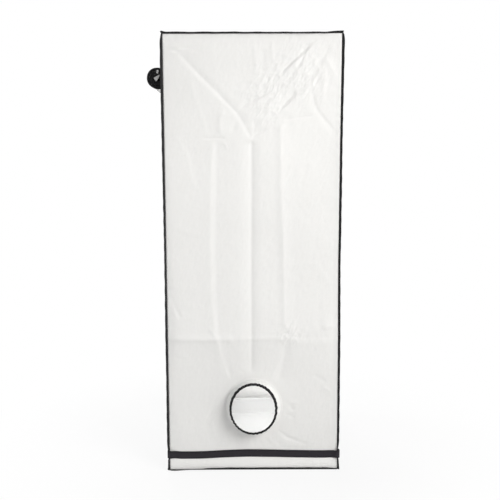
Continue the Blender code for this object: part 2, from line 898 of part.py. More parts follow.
def zip_section():
    """Half of the zip, cut across: each point's inset from the doorway's edge and its depth."""
    half = zip_tape_thickness / 2
    lean = math.asin(half / zip_bead_radius)
    points = [(-zip_tape_lap, -half)]
    for i in range(zip_bead_sides + 1):
        angle = -math.pi + lean + (2 * math.pi - 2 * lean) * i / zip_bead_sides
        inset = zip_bead_inset + zip_bead_radius * math.cos(angle)
        points.append((inset, zip_bead_radius * math.sin(angle)))
    points.append((-zip_tape_lap, half))
    return points


def add_zip():
    """The wall's half of the zip: a tape sewn round the doorway, with its bead of teeth."""
    bm = bmesh.new()
    rows = []
    for inset, depth in zip_section():
        line = doorway_path(inset, doorway_top)
        rows.append([bm.verts.new((-zip_line - depth, y, z)) for y, z in line])
    for first, second in zip(rows, rows[1:] + rows[:1]):
        for i in range(len(first) - 1):
            bm.faces.new((first[i], first[i + 1], second[i + 1], second[i]))
    bm.faces.new([row[0] for row in rows])
    bm.faces.new([row[-1] for row in rows])
    bmesh.ops.recalc_face_normals(bm, faces=bm.faces)
    show("door_zip", to_mesh(bm, "door_zip"), black_tape)


def slider_mesh():
    """Two plates with side flanges, a wedge between them and an arch for the pull."""
    channel = slider_channel / 2
    face = channel + slider_plate
    slit = zip_tape_thickness / 2 + seat_gap
    size = (slider_plate, 2 * slider_half_width, slider_height)
    parts = []
    for sx in (-1, 1):
        plate = rounded_block(
            size, slider_rounding, 2, lambda e: abs(e.verts[0].co.x - e.verts[1].co.x) > slider_plate / 2
        )
        bmesh.ops.translate(plate, vec=Vector((sx * (channel + slider_plate / 2), 0, 0)), verts=plate.verts)
        parts.append(plate)
    flange_depth = channel + slider_plate / 2 - slit
    flange_height = slider_height - 2 * slider_rounding
    for sx in (-1, 1):
        for sy in (-1, 1):
            centre = (sx * (slit + flange_depth / 2), sy * (slider_half_width - slider_flange), 0)
            parts.append(block((flange_depth, slider_flange, flange_height), centre))
    wedge = (slider_channel + slider_plate, slider_wedge_width, slider_wedge_height)
    parts.append(block(wedge, (0, 0, slider_height / 2 - slider_rounding - slider_wedge_height / 2)))
    low = face - arch_sink
    high = face + arch_tunnel + arch_bar
    window_height = 2 * (arch_half_height - arch_leg)
    arch = block((high - low, arch_width, 2 * arch_half_height), (-(low + high) / 2, 0, 0))
    window = block((arch_tunnel, arch_width + cut_overrun, window_height), (-(face + arch_tunnel / 2), 0, 0))
    bail = bmesh.new()
    bail.from_mesh(combine("bail", arch, cut=[window]))
    return combine("slider", parts[0], [*parts[1:], bail])


def pull_mesh():
    """A flat tab hung by its top bar, which is the hinge and lies at the origin."""
    top = pull_thickness / 2
    size = (pull_thickness, pull_width, pull_length)

    def at_foot(edge):
        first, second = (v.co for v in edge.verts)
        return first.z < 0 and second.z < 0 and abs(first.x - second.x) > top

    tab = rounded_block(size, pull_rounding, pull_rounding_steps, at_foot)
    bmesh.ops.translate(tab, vec=Vector((0, 0, top - pull_length / 2)), verts=tab.verts)
    slot_size = (pull_thickness + cut_overrun, pull_slot_width, pull_slot_length)
    slot = block(slot_size, (0, 0, -top - pull_slot_length / 2))
    return combine("pull", tab, cut=[slot])


def add_sliders():
    slider = slider_mesh()
    pull = pull_mesh()
    height = doorway_top - slider_top_gap - slider_height / 2
    bar = zip_line + slider_channel / 2 + slider_plate + arch_tunnel / 2
    for side, sy in (("intake", -1), ("exhaust", 1)):
        y = sy * slider_line
        show("zip_slider_" + side, slider, zip_metal, (-zip_line, y, height))
        show("zip_pull_" + side, pull, zip_metal, (-bar, y, height))
    print(f"slider at {height / MM:.1f} mm, pull hinge at x {-bar / MM:.2f} and y {slider_line / MM:.2f} mm")


# Floor tray


def add_tray():
    """A shallow tray with drawn corners, which clears the sockets and the gussets between them."""
    past_gusset = (gusset_leg + gusset_root) / 2 - tray_corner * (1 - math.sqrt(0.5))
    inset = max(bead_radius, past_gusset) + tray_clearance
    size = (2 * (post_x - inset), 2 * (post_y - inset), tray_height)
    half = tray_height / 2
    tray = rounded_block(
        size, tray_corner, tray_corner_steps, lambda e: abs(e.verts[0].co.z - e.verts[1].co.z) > half
    )
    bmesh.ops.translate(tray, vec=Vector((0, 0, seam + tray_wall + half)), verts=tray.verts)
    top = [f for f in tray.faces if f.normal.z > 0.9]
    bmesh.ops.delete(tray, geom=top, context="FACES_ONLY")
    sheet("floor_tray", tray, tray_wall, tray_sheet, 1.0)


add_corners()
add_posts()
add_rails()
add_hangers()
add_walls()
add_door_wall()
add_roof_and_ground()
add_corner_bindings()
add_edge_bindings()
add_base_band()
add_sleeve("intake", port_height_intake, 0)
add_sleeve("exhaust", port_height_exhaust, math.pi)
add_rolled_door()
add_ties()
add_zip()
add_sliders()
add_tray()
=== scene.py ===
# %% [markdown]
# # A grow tent, sewn and lit
# The real object is a cloth box zipped round a tube frame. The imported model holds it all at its
# true size: tubes, mouldings, hooks, sliders and pulls as finished solids, and plain solids
# where the cloth goes. The moulded and enamelled parts stay as they are and get finishes, and
# the tubes are turned again with more sides. Every piece of cloth is sewn again here as thin
# cloth with folds, seams and stitching, and stands for its plain solid.

# %% Load the frame
import json
import math

import bmesh
import bpy
import numpy as np
from mathutils import Matrix, Vector
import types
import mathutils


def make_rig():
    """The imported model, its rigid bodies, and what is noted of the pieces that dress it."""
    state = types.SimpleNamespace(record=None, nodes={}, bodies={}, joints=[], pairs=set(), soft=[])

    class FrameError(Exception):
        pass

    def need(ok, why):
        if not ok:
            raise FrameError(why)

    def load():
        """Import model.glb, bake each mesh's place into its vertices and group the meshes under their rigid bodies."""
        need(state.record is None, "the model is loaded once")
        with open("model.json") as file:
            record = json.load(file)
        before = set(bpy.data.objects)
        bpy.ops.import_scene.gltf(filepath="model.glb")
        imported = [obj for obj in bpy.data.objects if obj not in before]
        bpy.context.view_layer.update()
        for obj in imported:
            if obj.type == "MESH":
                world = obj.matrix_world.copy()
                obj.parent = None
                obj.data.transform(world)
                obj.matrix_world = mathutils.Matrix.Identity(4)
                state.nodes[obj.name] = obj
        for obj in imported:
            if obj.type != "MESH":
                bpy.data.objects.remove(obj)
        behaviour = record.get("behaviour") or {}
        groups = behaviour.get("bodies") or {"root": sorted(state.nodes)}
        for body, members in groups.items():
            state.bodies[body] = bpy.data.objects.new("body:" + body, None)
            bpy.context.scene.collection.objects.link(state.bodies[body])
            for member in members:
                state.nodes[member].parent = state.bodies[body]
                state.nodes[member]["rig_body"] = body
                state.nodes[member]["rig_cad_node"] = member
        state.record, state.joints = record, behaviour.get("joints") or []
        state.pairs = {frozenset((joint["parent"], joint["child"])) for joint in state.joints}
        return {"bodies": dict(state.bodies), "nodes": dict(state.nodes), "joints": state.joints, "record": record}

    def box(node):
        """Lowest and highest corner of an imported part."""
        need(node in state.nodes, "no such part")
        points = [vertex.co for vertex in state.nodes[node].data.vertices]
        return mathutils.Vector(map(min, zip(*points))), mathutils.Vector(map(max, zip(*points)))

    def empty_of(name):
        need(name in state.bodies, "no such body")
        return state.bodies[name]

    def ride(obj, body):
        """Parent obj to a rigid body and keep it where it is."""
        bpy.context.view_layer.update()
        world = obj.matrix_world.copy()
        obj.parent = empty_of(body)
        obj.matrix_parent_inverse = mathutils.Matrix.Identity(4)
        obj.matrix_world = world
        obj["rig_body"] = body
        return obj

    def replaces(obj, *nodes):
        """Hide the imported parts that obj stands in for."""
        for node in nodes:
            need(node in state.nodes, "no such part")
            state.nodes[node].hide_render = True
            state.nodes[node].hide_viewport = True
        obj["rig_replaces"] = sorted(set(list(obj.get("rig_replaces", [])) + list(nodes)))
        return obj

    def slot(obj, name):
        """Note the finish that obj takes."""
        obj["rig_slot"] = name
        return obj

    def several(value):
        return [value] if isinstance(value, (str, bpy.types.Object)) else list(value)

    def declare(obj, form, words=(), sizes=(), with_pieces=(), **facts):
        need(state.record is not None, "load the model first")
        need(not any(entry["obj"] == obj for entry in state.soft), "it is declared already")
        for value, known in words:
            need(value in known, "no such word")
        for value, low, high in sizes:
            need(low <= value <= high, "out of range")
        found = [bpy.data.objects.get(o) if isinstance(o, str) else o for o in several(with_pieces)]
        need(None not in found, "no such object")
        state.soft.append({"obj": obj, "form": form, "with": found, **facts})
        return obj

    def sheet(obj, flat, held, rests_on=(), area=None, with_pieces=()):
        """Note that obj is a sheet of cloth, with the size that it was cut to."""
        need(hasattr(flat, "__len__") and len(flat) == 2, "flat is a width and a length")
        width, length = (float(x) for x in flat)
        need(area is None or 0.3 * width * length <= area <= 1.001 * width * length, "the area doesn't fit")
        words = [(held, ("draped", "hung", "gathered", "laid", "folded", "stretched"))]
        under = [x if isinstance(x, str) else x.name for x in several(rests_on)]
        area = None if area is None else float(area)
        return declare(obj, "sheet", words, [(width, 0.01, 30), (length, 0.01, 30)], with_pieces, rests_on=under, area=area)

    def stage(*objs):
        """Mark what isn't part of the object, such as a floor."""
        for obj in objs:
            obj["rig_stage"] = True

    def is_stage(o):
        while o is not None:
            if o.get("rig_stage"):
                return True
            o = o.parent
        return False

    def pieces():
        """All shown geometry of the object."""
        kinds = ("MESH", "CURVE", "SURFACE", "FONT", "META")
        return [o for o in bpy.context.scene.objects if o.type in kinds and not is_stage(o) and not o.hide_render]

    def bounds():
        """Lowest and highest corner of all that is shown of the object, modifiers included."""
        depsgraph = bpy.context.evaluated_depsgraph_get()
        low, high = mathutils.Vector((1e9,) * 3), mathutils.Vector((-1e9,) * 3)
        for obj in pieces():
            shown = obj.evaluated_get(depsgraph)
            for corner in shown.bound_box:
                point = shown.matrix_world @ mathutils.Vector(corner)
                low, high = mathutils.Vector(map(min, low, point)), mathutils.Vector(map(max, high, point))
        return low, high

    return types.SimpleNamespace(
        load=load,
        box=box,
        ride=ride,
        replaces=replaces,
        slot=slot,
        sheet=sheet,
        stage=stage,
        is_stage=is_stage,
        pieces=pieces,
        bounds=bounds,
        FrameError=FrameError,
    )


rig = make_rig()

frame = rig.load()
cad_box = [list(corner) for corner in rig.bounds()]
nodes = frame["nodes"]
MM = 0.001
merge_distance = 0.001 * MM
print(f"{len(nodes)} nodes in a box from {cad_box[0]} to {cad_box[1]}")

# %% [markdown]
# ## Where the cloth goes
# Cloth follows the frame, so its places are read from the frame's nodes and not typed again.
# The doorway's edges come from the zip, which is sewn round it.

# %% Read the main places from the frame
half_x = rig.box("wall_back")[1].x
half_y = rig.box("wall_exhaust")[1].y
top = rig.box("roof_panel")[1].z + 1.8 * MM  # the cloth rides a little over the solid
band_ride = 4.0 * MM  # how far the band has ridden up the walls
band_low, band_high = (corner.z + band_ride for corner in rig.box("base_band"))
port_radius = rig.box("sleeve_intake")[1].x
port_heights = {}
for side in ("intake", "exhaust"):
    port_heights[side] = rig.box("sleeve_" + side)[0].z + port_radius
header_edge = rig.box("door_roll_tape_intake")[1].z
corner_names = ["door_intake", "back_intake", "back_exhaust", "door_exhaust"]
wall_names = ["intake", "back", "exhaust", "door"]  # each a quarter turn after the one before
print(f"box {2 * half_x:.3f} x {2 * half_y:.3f} x {top:.3f} m, ports at {port_heights}")

# %% [markdown]
# ## The camera
# The photograph looks nearly straight at the wall with the low duct sleeve, from a little above
# the tent's middle, tilted down. The lens length was worked out from how fast the seams draw
# together towards the floor. A camera could be aimed with a constraint, but a fixed place and
# two turns say exactly what was measured.

# %% Make the camera
camera_place = Vector((-0.010, -2.70, 1.087))
camera_tilt = math.radians(6.94)
camera_roll = math.radians(-0.22)
lens_data = bpy.data.cameras.new("camera")
lens_data.lens = 50.4
lens_data.sensor_width = 36
camera = bpy.data.objects.new("camera", lens_data)
bpy.context.scene.collection.objects.link(camera)
aim = Matrix.Rotation(math.pi / 2 - camera_tilt, 4, "X") @ Matrix.Rotation(camera_roll, 4, "Z")
camera.matrix_world = Matrix.Translation(camera_place) @ aim
bpy.context.scene.camera = camera
bpy.context.scene.view_settings.view_transform = "Standard"
print("camera", tuple(camera_place), "lens", lens_data.lens)

# %% [markdown]
# ## Wiring materials
# A finish is a small network of shader nodes. Two helpers keep the wiring short: one adds a
# node and fills or links its sockets, the other adds a sum. A third starts a finish with its
# main shader and sets whatever is the same all over it.


# %% Helpers for shader nodes
def feed(tree, node, sockets):
    for name, value in sockets.items():
        if isinstance(value, bpy.types.NodeSocket):
            tree.links.new(value, node.inputs[name])
        else:
            node.inputs[name].default_value = value


def add(tree, kind, sockets=(), out=0, **settings):
    """Adds a shader node, sets it up, feeds its sockets and gives one of its outputs."""
    node = tree.nodes.new("ShaderNode" + kind)
    for name, value in settings.items():
        setattr(node, name, value)
    feed(tree, node, dict(sockets))
    return node.outputs[out]


def sum_of(tree, operation, *values, clamp=False):
    sockets = dict(enumerate(values))
    return add(tree, "Math", sockets, operation=operation, use_clamp=clamp)


def start_finish(name, colour, roughness, **constants):
    """A new material and its main shader, with what is the same all over it."""
    made = bpy.data.materials.new(name)
    made.use_nodes = True
    tree = made.node_tree
    shader = tree.nodes["Principled BSDF"]
    feed(tree, shader, {"Base Color": (*colour, 1), "Roughness": roughness})
    feed(tree, shader, {key.replace("_", " "): value for key, value in constants.items()})
    return made, tree, shader


def noise(tree, place, scale, out=0, **others):
    sockets = {"Vector": place, "Scale": scale, **others}
    return add(tree, "TexNoise", sockets, out=out)


def ramp(tree, value, low, high, to_low=0.0, to_high=1.0):
    """Maps a value from one range to another and stops at its ends."""
    ends = {"From Min": low, "From Max": high, "To Min": to_low, "To Max": to_high}
    return add(tree, "MapRange", {"Value": value, **ends}, clamp=True)


def shaded(colour, share):
    return tuple(channel * share for channel in colour)


def tint(tree, value, dark, light):
    """A colour between two, by a value from 0 to 1."""
    mix = tree.nodes.new("ShaderNodeMix")
    mix.data_type = "RGBA"
    tree.links.new(value, mix.inputs["Factor"])
    mix.inputs[6].default_value = (*dark, 1)
    mix.inputs[7].default_value = (*light, 1)
    return mix.outputs[2]


def bumped(tree, height, distance, strength=1.0, under=None):
    sockets = {"Height": height, "Distance": distance, "Strength": strength}
    if under is not None:
        sockets["Normal"] = under
    return add(tree, "Bump", sockets)


def cloth_place(tree):
    """The place on the flat cloth, in metres: across it and along it."""
    place = add(tree, "UVMap", uv_map="cloth")
    split = tree.nodes.new("ShaderNodeSeparateXYZ")
    tree.links.new(place, split.inputs[0])
    return place, split.outputs[0], split.outputs[1]


def thread_waves(tree, across, along, pitch):
    """Height of a plain weave: two rows of ridges that cross."""
    warp = sum_of(tree, "SINE", sum_of(tree, "MULTIPLY", across, 2 * math.pi / pitch))
    weft = sum_of(tree, "SINE", sum_of(tree, "MULTIPLY", along, 2 * math.pi / pitch))
    return sum_of(tree, "MULTIPLY", warp, weft)


# %% [markdown]
# ## Light and floor
# The photograph is a bright studio picture: one large soft lamp from the upper right, pale light
# from everywhere else, and a pure white ground. The sleeve's shadow falls to its lower left by
# about its own length, which gives the lamp's direction. The white comes from what the camera
# sees of the world and the floor, not from more light on the tent.

# %% World
world = bpy.data.worlds.new("studio")
bpy.context.scene.world = world
world.use_nodes = True
sky = world.node_tree
ambient_light = 0.31
path = sky.nodes.new("ShaderNodeLightPath")
seen = sum_of(sky, "MAXIMUM", path.outputs["Is Camera Ray"], path.outputs["Is Glossy Ray"])
seen = sum_of(sky, "MAXIMUM", seen, path.outputs["Is Transmission Ray"])
strength = ramp(sky, seen, 0.0, 1.0, ambient_light, 1.0)
feed(sky, sky.nodes["Background"], {"Color": (1, 1, 1, 1), "Strength": strength})
print("world lights at", ambient_light, "and shows as white")


# %% Lamps
def add_lamp(name, place, target, size, watts, colour=(1, 1, 1), inside=False, spread=180):
    """An area lamp that the camera doesn't see, because a bright lamp behind a dark edge eats into
    it. One inside the tent isn't mirrored either."""
    data = bpy.data.lights.new(name, "AREA")
    data.size = size
    data.energy = watts
    data.color = colour
    data.spread = math.radians(spread)
    lamp = bpy.data.objects.new(name, data)
    bpy.context.scene.collection.objects.link(lamp)
    towards = Vector(target) - Vector(place)
    lamp.rotation_mode = "QUATERNION"
    lamp.rotation_quaternion = towards.to_track_quat("-Z", "Y")
    lamp.location = place
    lamp.visible_camera = False
    lamp.visible_glossy = not inside


add_lamp("key_lamp", (2.9, -3.1, 2.95), (0.1, 0, 0.5), 2.6, 208, (1.0, 0.99, 0.975))
add_lamp("left_lamp", (-2.7, -2.3, 1.5), (0, 0, 0.8), 1.8, 11, (0.97, 0.98, 1.0))
add_lamp("side_lamp", (-3.3, 0.9, 1.9), (0, 0, 0.8), 1.8, 55, (0.95, 0.975, 1.0))
add_lamp("back_lamp", (-0.6, 3.6, 2.4), (0, 0, 0.8), 2.0, 84)
add_lamp("roof_lamp", (-0.4, 0.9, 4.2), (0, 0, 1.5), 2.4, 30)
add_lamp("growing_lamp", (0.08, 0.02, 1.42), (0.08, 0.02, 0), 0.34, 1.1, inside=True)
add_lamp("low_lamp", (0.12, -0.12, 0.5), (0.05, 0.26, 0.05), 0.18, 0.64, inside=True, spread=90)
print("seven lamps: a key, four fills and two inside")

# %% Floor
floor_reach = 12.0
floor_fade = (0.45, 1.15)  # metres from the middle, where the shadowed floor turns pure white
bm = bmesh.new()
bmesh.ops.create_grid(bm, x_segments=1, y_segments=1, size=floor_reach)
floor_mesh = bpy.data.meshes.new("floor")
bm.to_mesh(floor_mesh)
bm.free()
floor = bpy.data.objects.new("floor", floor_mesh)
floor.location.z = -0.0002
bpy.context.scene.collection.objects.link(floor)
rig.stage(floor)

floor_finish, tree, shader = start_finish("pale_floor", (0.66, 0.66, 0.66), 0.9)
where = add(tree, "TexCoord", out="Object")
distance = add(tree, "VectorMath", {0: where}, out="Value", operation="LENGTH")
far = ramp(tree, distance, *floor_fade)
tree.nodes[-1].interpolation_type = "SMOOTHSTEP"
path = tree.nodes.new("ShaderNodeLightPath")
white = add(tree, "Emission", {"Color": (1, 1, 1, 1), "Strength": 1.0})
seen = path.outputs["Is Camera Ray"]
share = sum_of(tree, "MULTIPLY", ramp(tree, far, 0.0, 1.0, 0.86, 1.0), seen)
mixed = add(tree, "MixShader", {0: share, 1: shader.outputs[0], 2: white})
tree.links.new(mixed, tree.nodes["Material Output"].inputs["Surface"])
floor_mesh.materials.append(floor_finish)
print("floor", 2 * floor_reach, "m wide")

# %% [markdown]
# ## White coated cloth
# Grow tent walls are a woven polyester with a white coat. Close up it shows its threads, at
# arm's length a net of faint creases, and it lets a little light through. The weave is worked
# out from the cloth's own UV map, in metres, so that it stays with the cloth. Some light goes
# through a translucent shader mixed under the main one.


# %% Canvas and lining
thread_pitch = 0.9 * MM
packing_lean = -0.93  # radians that the net of faint creases leans on the cloth
net_everywhere = 0.24  # the net's share outside the crumpled places
net_height = 5 * MM


def cloth_colour(tree, colour, place, broad):
    """Faint broad patches and slubs, with painted shade below the fold across and painted light below the base band.
    """
    streaks = add(tree, "Mapping", {"Vector": place, "Scale": (900.0, 14.0, 1.0)})
    slub = noise(tree, streaks, 1.0, Detail=2.0)
    shade = sum_of(tree, "MULTIPLY_ADD", broad, 0.55, sum_of(tree, "MULTIPLY", slub, 0.45))
    dark, light = shaded(colour, 0.965), shaded(colour, 1.02)
    mottled = tint(tree, ramp(tree, shade, 0.3, 0.7), dark, light)
    factor = 1.0
    # Painted shade below the fold across and painted light below the base band, put into the base colour.
    for attribute, change in (("painted_shade_below_fold", -0.035), ("painted_light_below_band", 0.12)):
        share = add(tree, "Attribute", attribute_name=attribute, out="Fac")
        factor = sum_of(tree, "MULTIPLY_ADD", share, change, factor)
    return add(tree, "VectorMath", {0: mottled, "Scale": factor}, operation="SCALE")


def crease_net(tree, place):
    """Height of a net of flat facets that lean one way, as packed cloth has."""
    bent = noise(tree, place, 14.0, out="Color", Detail=2.0)
    sockets = {0: bent, 1: (0.02, 0.02, 0), 2: place}
    shifted = add(tree, "VectorMath", sockets, operation="MULTIPLY_ADD")
    turned_place = add(tree, "Mapping", {"Vector": shifted, "Rotation": (0, 0, packing_lean)})
    leaning = add(tree, "VectorMath", {0: turned_place, 1: (0.5, 1.0, 1.0)}, operation="MULTIPLY")
    facets = add(tree, "TexVoronoi", {"Vector": leaning, "Scale": 58.0, "Detail": 1.0})
    crumpled = add(tree, "Attribute", attribute_name="crumpled", out="Fac")
    return sum_of(tree, "MULTIPLY", facets, sum_of(tree, "ADD", crumpled, net_everywhere))


def cloth_finish(name, colour, thread, weave_height, crumple_height, see_through, roughness):
    made, tree, shader = start_finish(
        name, colour, roughness, Sheen_Weight=0.12, Sheen_Roughness=0.4, IOR=1.45
    )
    place, across, along = cloth_place(tree)
    broad = noise(tree, place, 2.5, Detail=3.0, Roughness=0.55)
    gloss = ramp(tree, broad, 0.3, 0.7, roughness - 0.05, roughness + 0.06)
    relief = bumped(tree, thread_waves(tree, across, along, thread), weave_height, 0.5)
    soft = noise(tree, place, 26.0, Detail=5.0, Roughness=0.6)
    relief = bumped(tree, soft, crumple_height, 0.6, relief)
    stretched = add(tree, "Mapping", {"Vector": place, "Scale": (1.0, 0.45, 1.0)})
    wrinkle = noise(tree, stretched, 60.0, Detail=4.0, Distortion=1.2)
    relief = bumped(tree, wrinkle, crumple_height * 0.4, 0.7, relief)
    relief = bumped(tree, crease_net(tree, place), net_height, 0.42, relief)
    toned = cloth_colour(tree, colour, place, broad)
    feed(tree, shader, {"Base Color": toned, "Roughness": gloss, "Normal": relief})
    through = add(tree, "BsdfTranslucent", {"Color": (*colour, 1), "Normal": relief})
    mixed = add(tree, "MixShader", {0: see_through, 1: shader.outputs[0], 2: through})
    tree.links.new(mixed, tree.nodes["Material Output"].inputs["Surface"])
    return made


canvas = cloth_finish(
    "canvas", (0.870, 0.868, 0.856), thread_pitch, 0.05 * MM, 1.2 * MM, 0.22, 0.50
)
lining = cloth_finish(
    "lining", (0.900, 0.895, 0.882), thread_pitch, 0.04 * MM, 1.0 * MM, 0.22, 0.38
)
print("finishes", canvas.name, lining.name)

# %% [markdown]
# ## Black tapes
# The seams are bound with a ribbed black tape, sewn through once. The base band is heavier
# webbing with thick edges, and the zip runs on its own ribbed tape. All three read the cloth UV
# map: the first number runs across the tape and the second along it, so ribs and stitches
# follow every bend.


# %% Tape finishes
stitch_pitch, stitch_share = 3.4 * MM, 0.66  # a stitch's repeat, and how much of it shows


def stitched(tree, across, along, line):
    """1 on a row of stitches along a line across the tape, 0 elsewhere."""
    off_line = sum_of(tree, "ABSOLUTE", sum_of(tree, "SUBTRACT", across, line))
    on_line = ramp(tree, off_line, 0.35 * MM, 0.55 * MM, 1.0, 0.0)
    step = sum_of(tree, "FRACT", sum_of(tree, "DIVIDE", along, stitch_pitch))
    on_thread = ramp(tree, step, stitch_share, stitch_share + 0.06, 1.0, 0.0)
    return sum_of(tree, "MULTIPLY", on_line, on_thread)


def tape_finish(name, colour, rib_pitch, rib_height, stitch_lines, width=None, border=None):
    """A ribbed tape. Stitches lie on lines across the tape, in metres from its edge."""
    made, tree, shader = start_finish(
        name, colour, 0.78, Specular_IOR_Level=0.28, Sheen_Weight=0.10, Sheen_Roughness=0.5
    )
    place, across, along = cloth_place(tree)
    tone = fluff = noise(tree, place, 420.0, Detail=3.0)
    if border is not None:
        from_middle = sum_of(tree, "ABSOLUTE", sum_of(tree, "SUBTRACT", across, width / 2))
        start = width / 2 - border
        edge = ramp(tree, from_middle, start, start + 0.6 * MM, 0.0, 0.45)
        tone = sum_of(tree, "SUBTRACT", tone, edge)
    ribs = sum_of(tree, "SINE", sum_of(tree, "MULTIPLY", along, 2 * math.pi / rib_pitch))
    cross = thread_waves(tree, across, along, rib_pitch * 1.4)
    relief = bumped(tree, sum_of(tree, "MULTIPLY_ADD", cross, 0.5, ribs), rib_height, 0.8)
    relief = bumped(tree, fluff, rib_height * 0.6, 0.4, relief)
    for line in stitch_lines:
        stitch = stitched(tree, across, along, line)
        # The stitches are painted lighter: a painted sheen on the thread.
        tone = sum_of(tree, "MULTIPLY_ADD", stitch, 0.7, tone)
        relief = bumped(tree, stitch, 0.25 * MM, 0.8, relief)
    toned = tint(tree, ramp(tree, tone, 0.25, 1.2), shaded(colour, 0.55), shaded(colour, 1.7))
    feed(tree, shader, {"Base Color": toned, "Normal": relief})
    return made


binding_tape = tape_finish(
    "binding_tape", (0.0085, 0.0082, 0.0095), 1.3 * MM, 0.12 * MM, [3.2 * MM]
)
webbing = tape_finish(
    "webbing", (0.0175, 0.0150, 0.0205), 1.6 * MM, 0.18 * MM, [2.4 * MM, 22.6 * MM],
    25 * MM, 4.6 * MM,
)
tie_webbing = tape_finish(
    "tie_webbing", (0.022, 0.021, 0.025), 1.5 * MM, 0.16 * MM, [2.2 * MM, 17.8 * MM],
    20 * MM, 3.6 * MM,
)
zip_tape = tape_finish("zip_tape", (0.0125, 0.0120, 0.0140), 0.9 * MM, 0.08 * MM, [3.0 * MM])
print("finishes", binding_tape.name, webbing.name, tie_webbing.name, zip_tape.name)

# %% [markdown]
# ## Hard finishes
# The tubes are powder-coated white, which has a fine orange-peel skin. The corners and hooks
# are moulded black plastic with a fine grain, and the zip's slider and pull are black enamel
# that has worn thin along the edges. Wear is found by the Bevel node: where the rounded normal
# leaves the flat one, there is an edge.


# %% Hard finishes
def hard_finish(name, colour, worn, roughness, grain, grain_height, edge, wear, **constants):
    """Worn is the colour that shows through at the edges, and wear how much of it."""
    made, tree, shader = start_finish(name, colour, roughness, **constants)
    place = add(tree, "TexCoord", out="Object")
    fine = noise(tree, place, grain, Detail=2.0)
    broad = noise(tree, place, 38.0, Detail=5.0, Roughness=0.6)
    rounded = add(tree, "Bevel", {"Radius": edge}, samples=4)
    flat = add(tree, "NewGeometry", out="Normal")
    same = add(tree, "VectorMath", {0: rounded, 1: flat}, out="Value", operation="DOT_PRODUCT")
    at_edge = ramp(tree, same, 0.80, 0.995, 1.0, 0.0)
    patchy = sum_of(tree, "MULTIPLY", at_edge, ramp(tree, broad, 0.40, 0.62))
    rubbed = sum_of(tree, "MULTIPLY", patchy, wear, clamp=True)
    feed(tree, shader, {
        "Base Color": tint(tree, rubbed, colour, worn),
        "Roughness": ramp(tree, broad, 0.3, 0.7, roughness - 0.06, roughness + 0.08),
        "Normal": bumped(tree, fine, grain_height, 0.6, rounded),
    })
    return made


powder_coat = hard_finish(
    "powder_coat", (0.80, 0.80, 0.79), (0.60, 0.60, 0.60), 0.34, 520, 0.06 * MM, 0.5 * MM, 0.5
)
moulding = hard_finish(
    "moulding", (0.026, 0.026, 0.028), (0.09, 0.09, 0.092), 0.46, 1700, 0.05 * MM, 0.7 * MM, 0.7
)
enamel = hard_finish(
    "enamel", (0.030, 0.030, 0.033), (0.42, 0.40, 0.37), 0.30, 900, 0.02 * MM, 0.35 * MM, 0.8,
    Coat_Weight=0.4, Coat_Roughness=0.15,
)
hard_kinds = {
    ("post_", "rail_", "hanger_bar"): powder_coat,
    ("corner_", "hanger_hook", "door_tie_toggle"): moulding,
    ("zip_slider", "zip_pull"): enamel,
}
for starts, finish in hard_kinds.items():
    for name in nodes:
        for material_slot in nodes[name].material_slots if name.startswith(starts) else ():
            material_slot.material = finish
print("hard finishes on the frame's own nodes")

# %% [markdown]
# ## How a piece of cloth is made
# Each wall starts as one flat grid of 5 mm squares. Its UV map is written while it is flat, so
# the map is the cutting pattern, in metres. Then each point moves to where the hung cloth is.
# A cloth simulation could hang the wall too, but taut cloth barely moves: what shows are the
# creases from its packing, and those are drawn one by one from the photograph. Thickness comes
# last, from a Solidify modifier, with the lining as a second finish on the inside.


# %% Helpers for cloth
def smooth(value):
    """Goes from 0 to 1 with level ends, for single numbers and for arrays."""
    value = np.clip(value, 0, 1)
    return value * value * (3 - 2 * value)


def bell(distance, reach):
    return np.exp(-((distance / reach) ** 2))


def blended_noise(draw, count, reach):
    """Random numbers, each the mean of as many neighbours as reach says."""
    row = draw.normal(0, 1, count + 8)
    return np.convolve(row, np.ones(reach) / reach, "same")[4:-4]


def points_of(mesh):
    flat = np.empty(len(mesh.vertices) * 3)
    mesh.vertices.foreach_get("co", flat)
    return flat.reshape(-1, 3)


def move_points(mesh, points):
    mesh.vertices.foreach_set("co", np.ascontiguousarray(points, dtype=float).ravel())
    mesh.update()


def write_pattern(mesh, across, along):
    """Writes the cloth UV map from two numbers for each point."""
    corners = np.empty(len(mesh.loops), dtype=int)
    mesh.loops.foreach_get("vertex_index", corners)
    layer = mesh.uv_layers.new(name="cloth")
    layer.data.foreach_set("uv", np.column_stack((across[corners], along[corners])).ravel())


def place_piece(name, mesh, finishes, slot_name, body="tent", instead_of=()):
    """Puts a finished mesh in the scene, on its body, with its finishes."""
    piece = bpy.data.objects.new(name, mesh)
    bpy.context.scene.collection.objects.link(piece)
    for finish in finishes:
        mesh.materials.append(finish)
    mesh.shade_smooth()
    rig.ride(piece, body)
    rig.slot(piece, slot_name)
    if instead_of:
        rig.replaces(piece, *instead_of)
    return piece


def thicken(piece, thickness, offset=-1.0, lined=False):
    solid = piece.modifiers.new("thickness", "SOLIDIFY")
    solid.thickness, solid.offset = thickness, offset
    solid.use_even_offset = True
    solid.material_offset = int(lined)


cell = 5 * MM
cloth_thickness = 0.8 * MM
print("cloth is cut in", cell, "m squares and is", cloth_thickness, "m thick")


# %% [markdown]
# ## Creases
# A crease is a sharp line with a gentle dent on each side. Each is drawn as a line in
# millimetres on the flat wall, seen from outside, with a depth (inwards is positive), and how
# far the dent reaches to the left and to the right of somebody walking along the line. The small
# crumples come from a seeded random generator, so they're the same in every run.


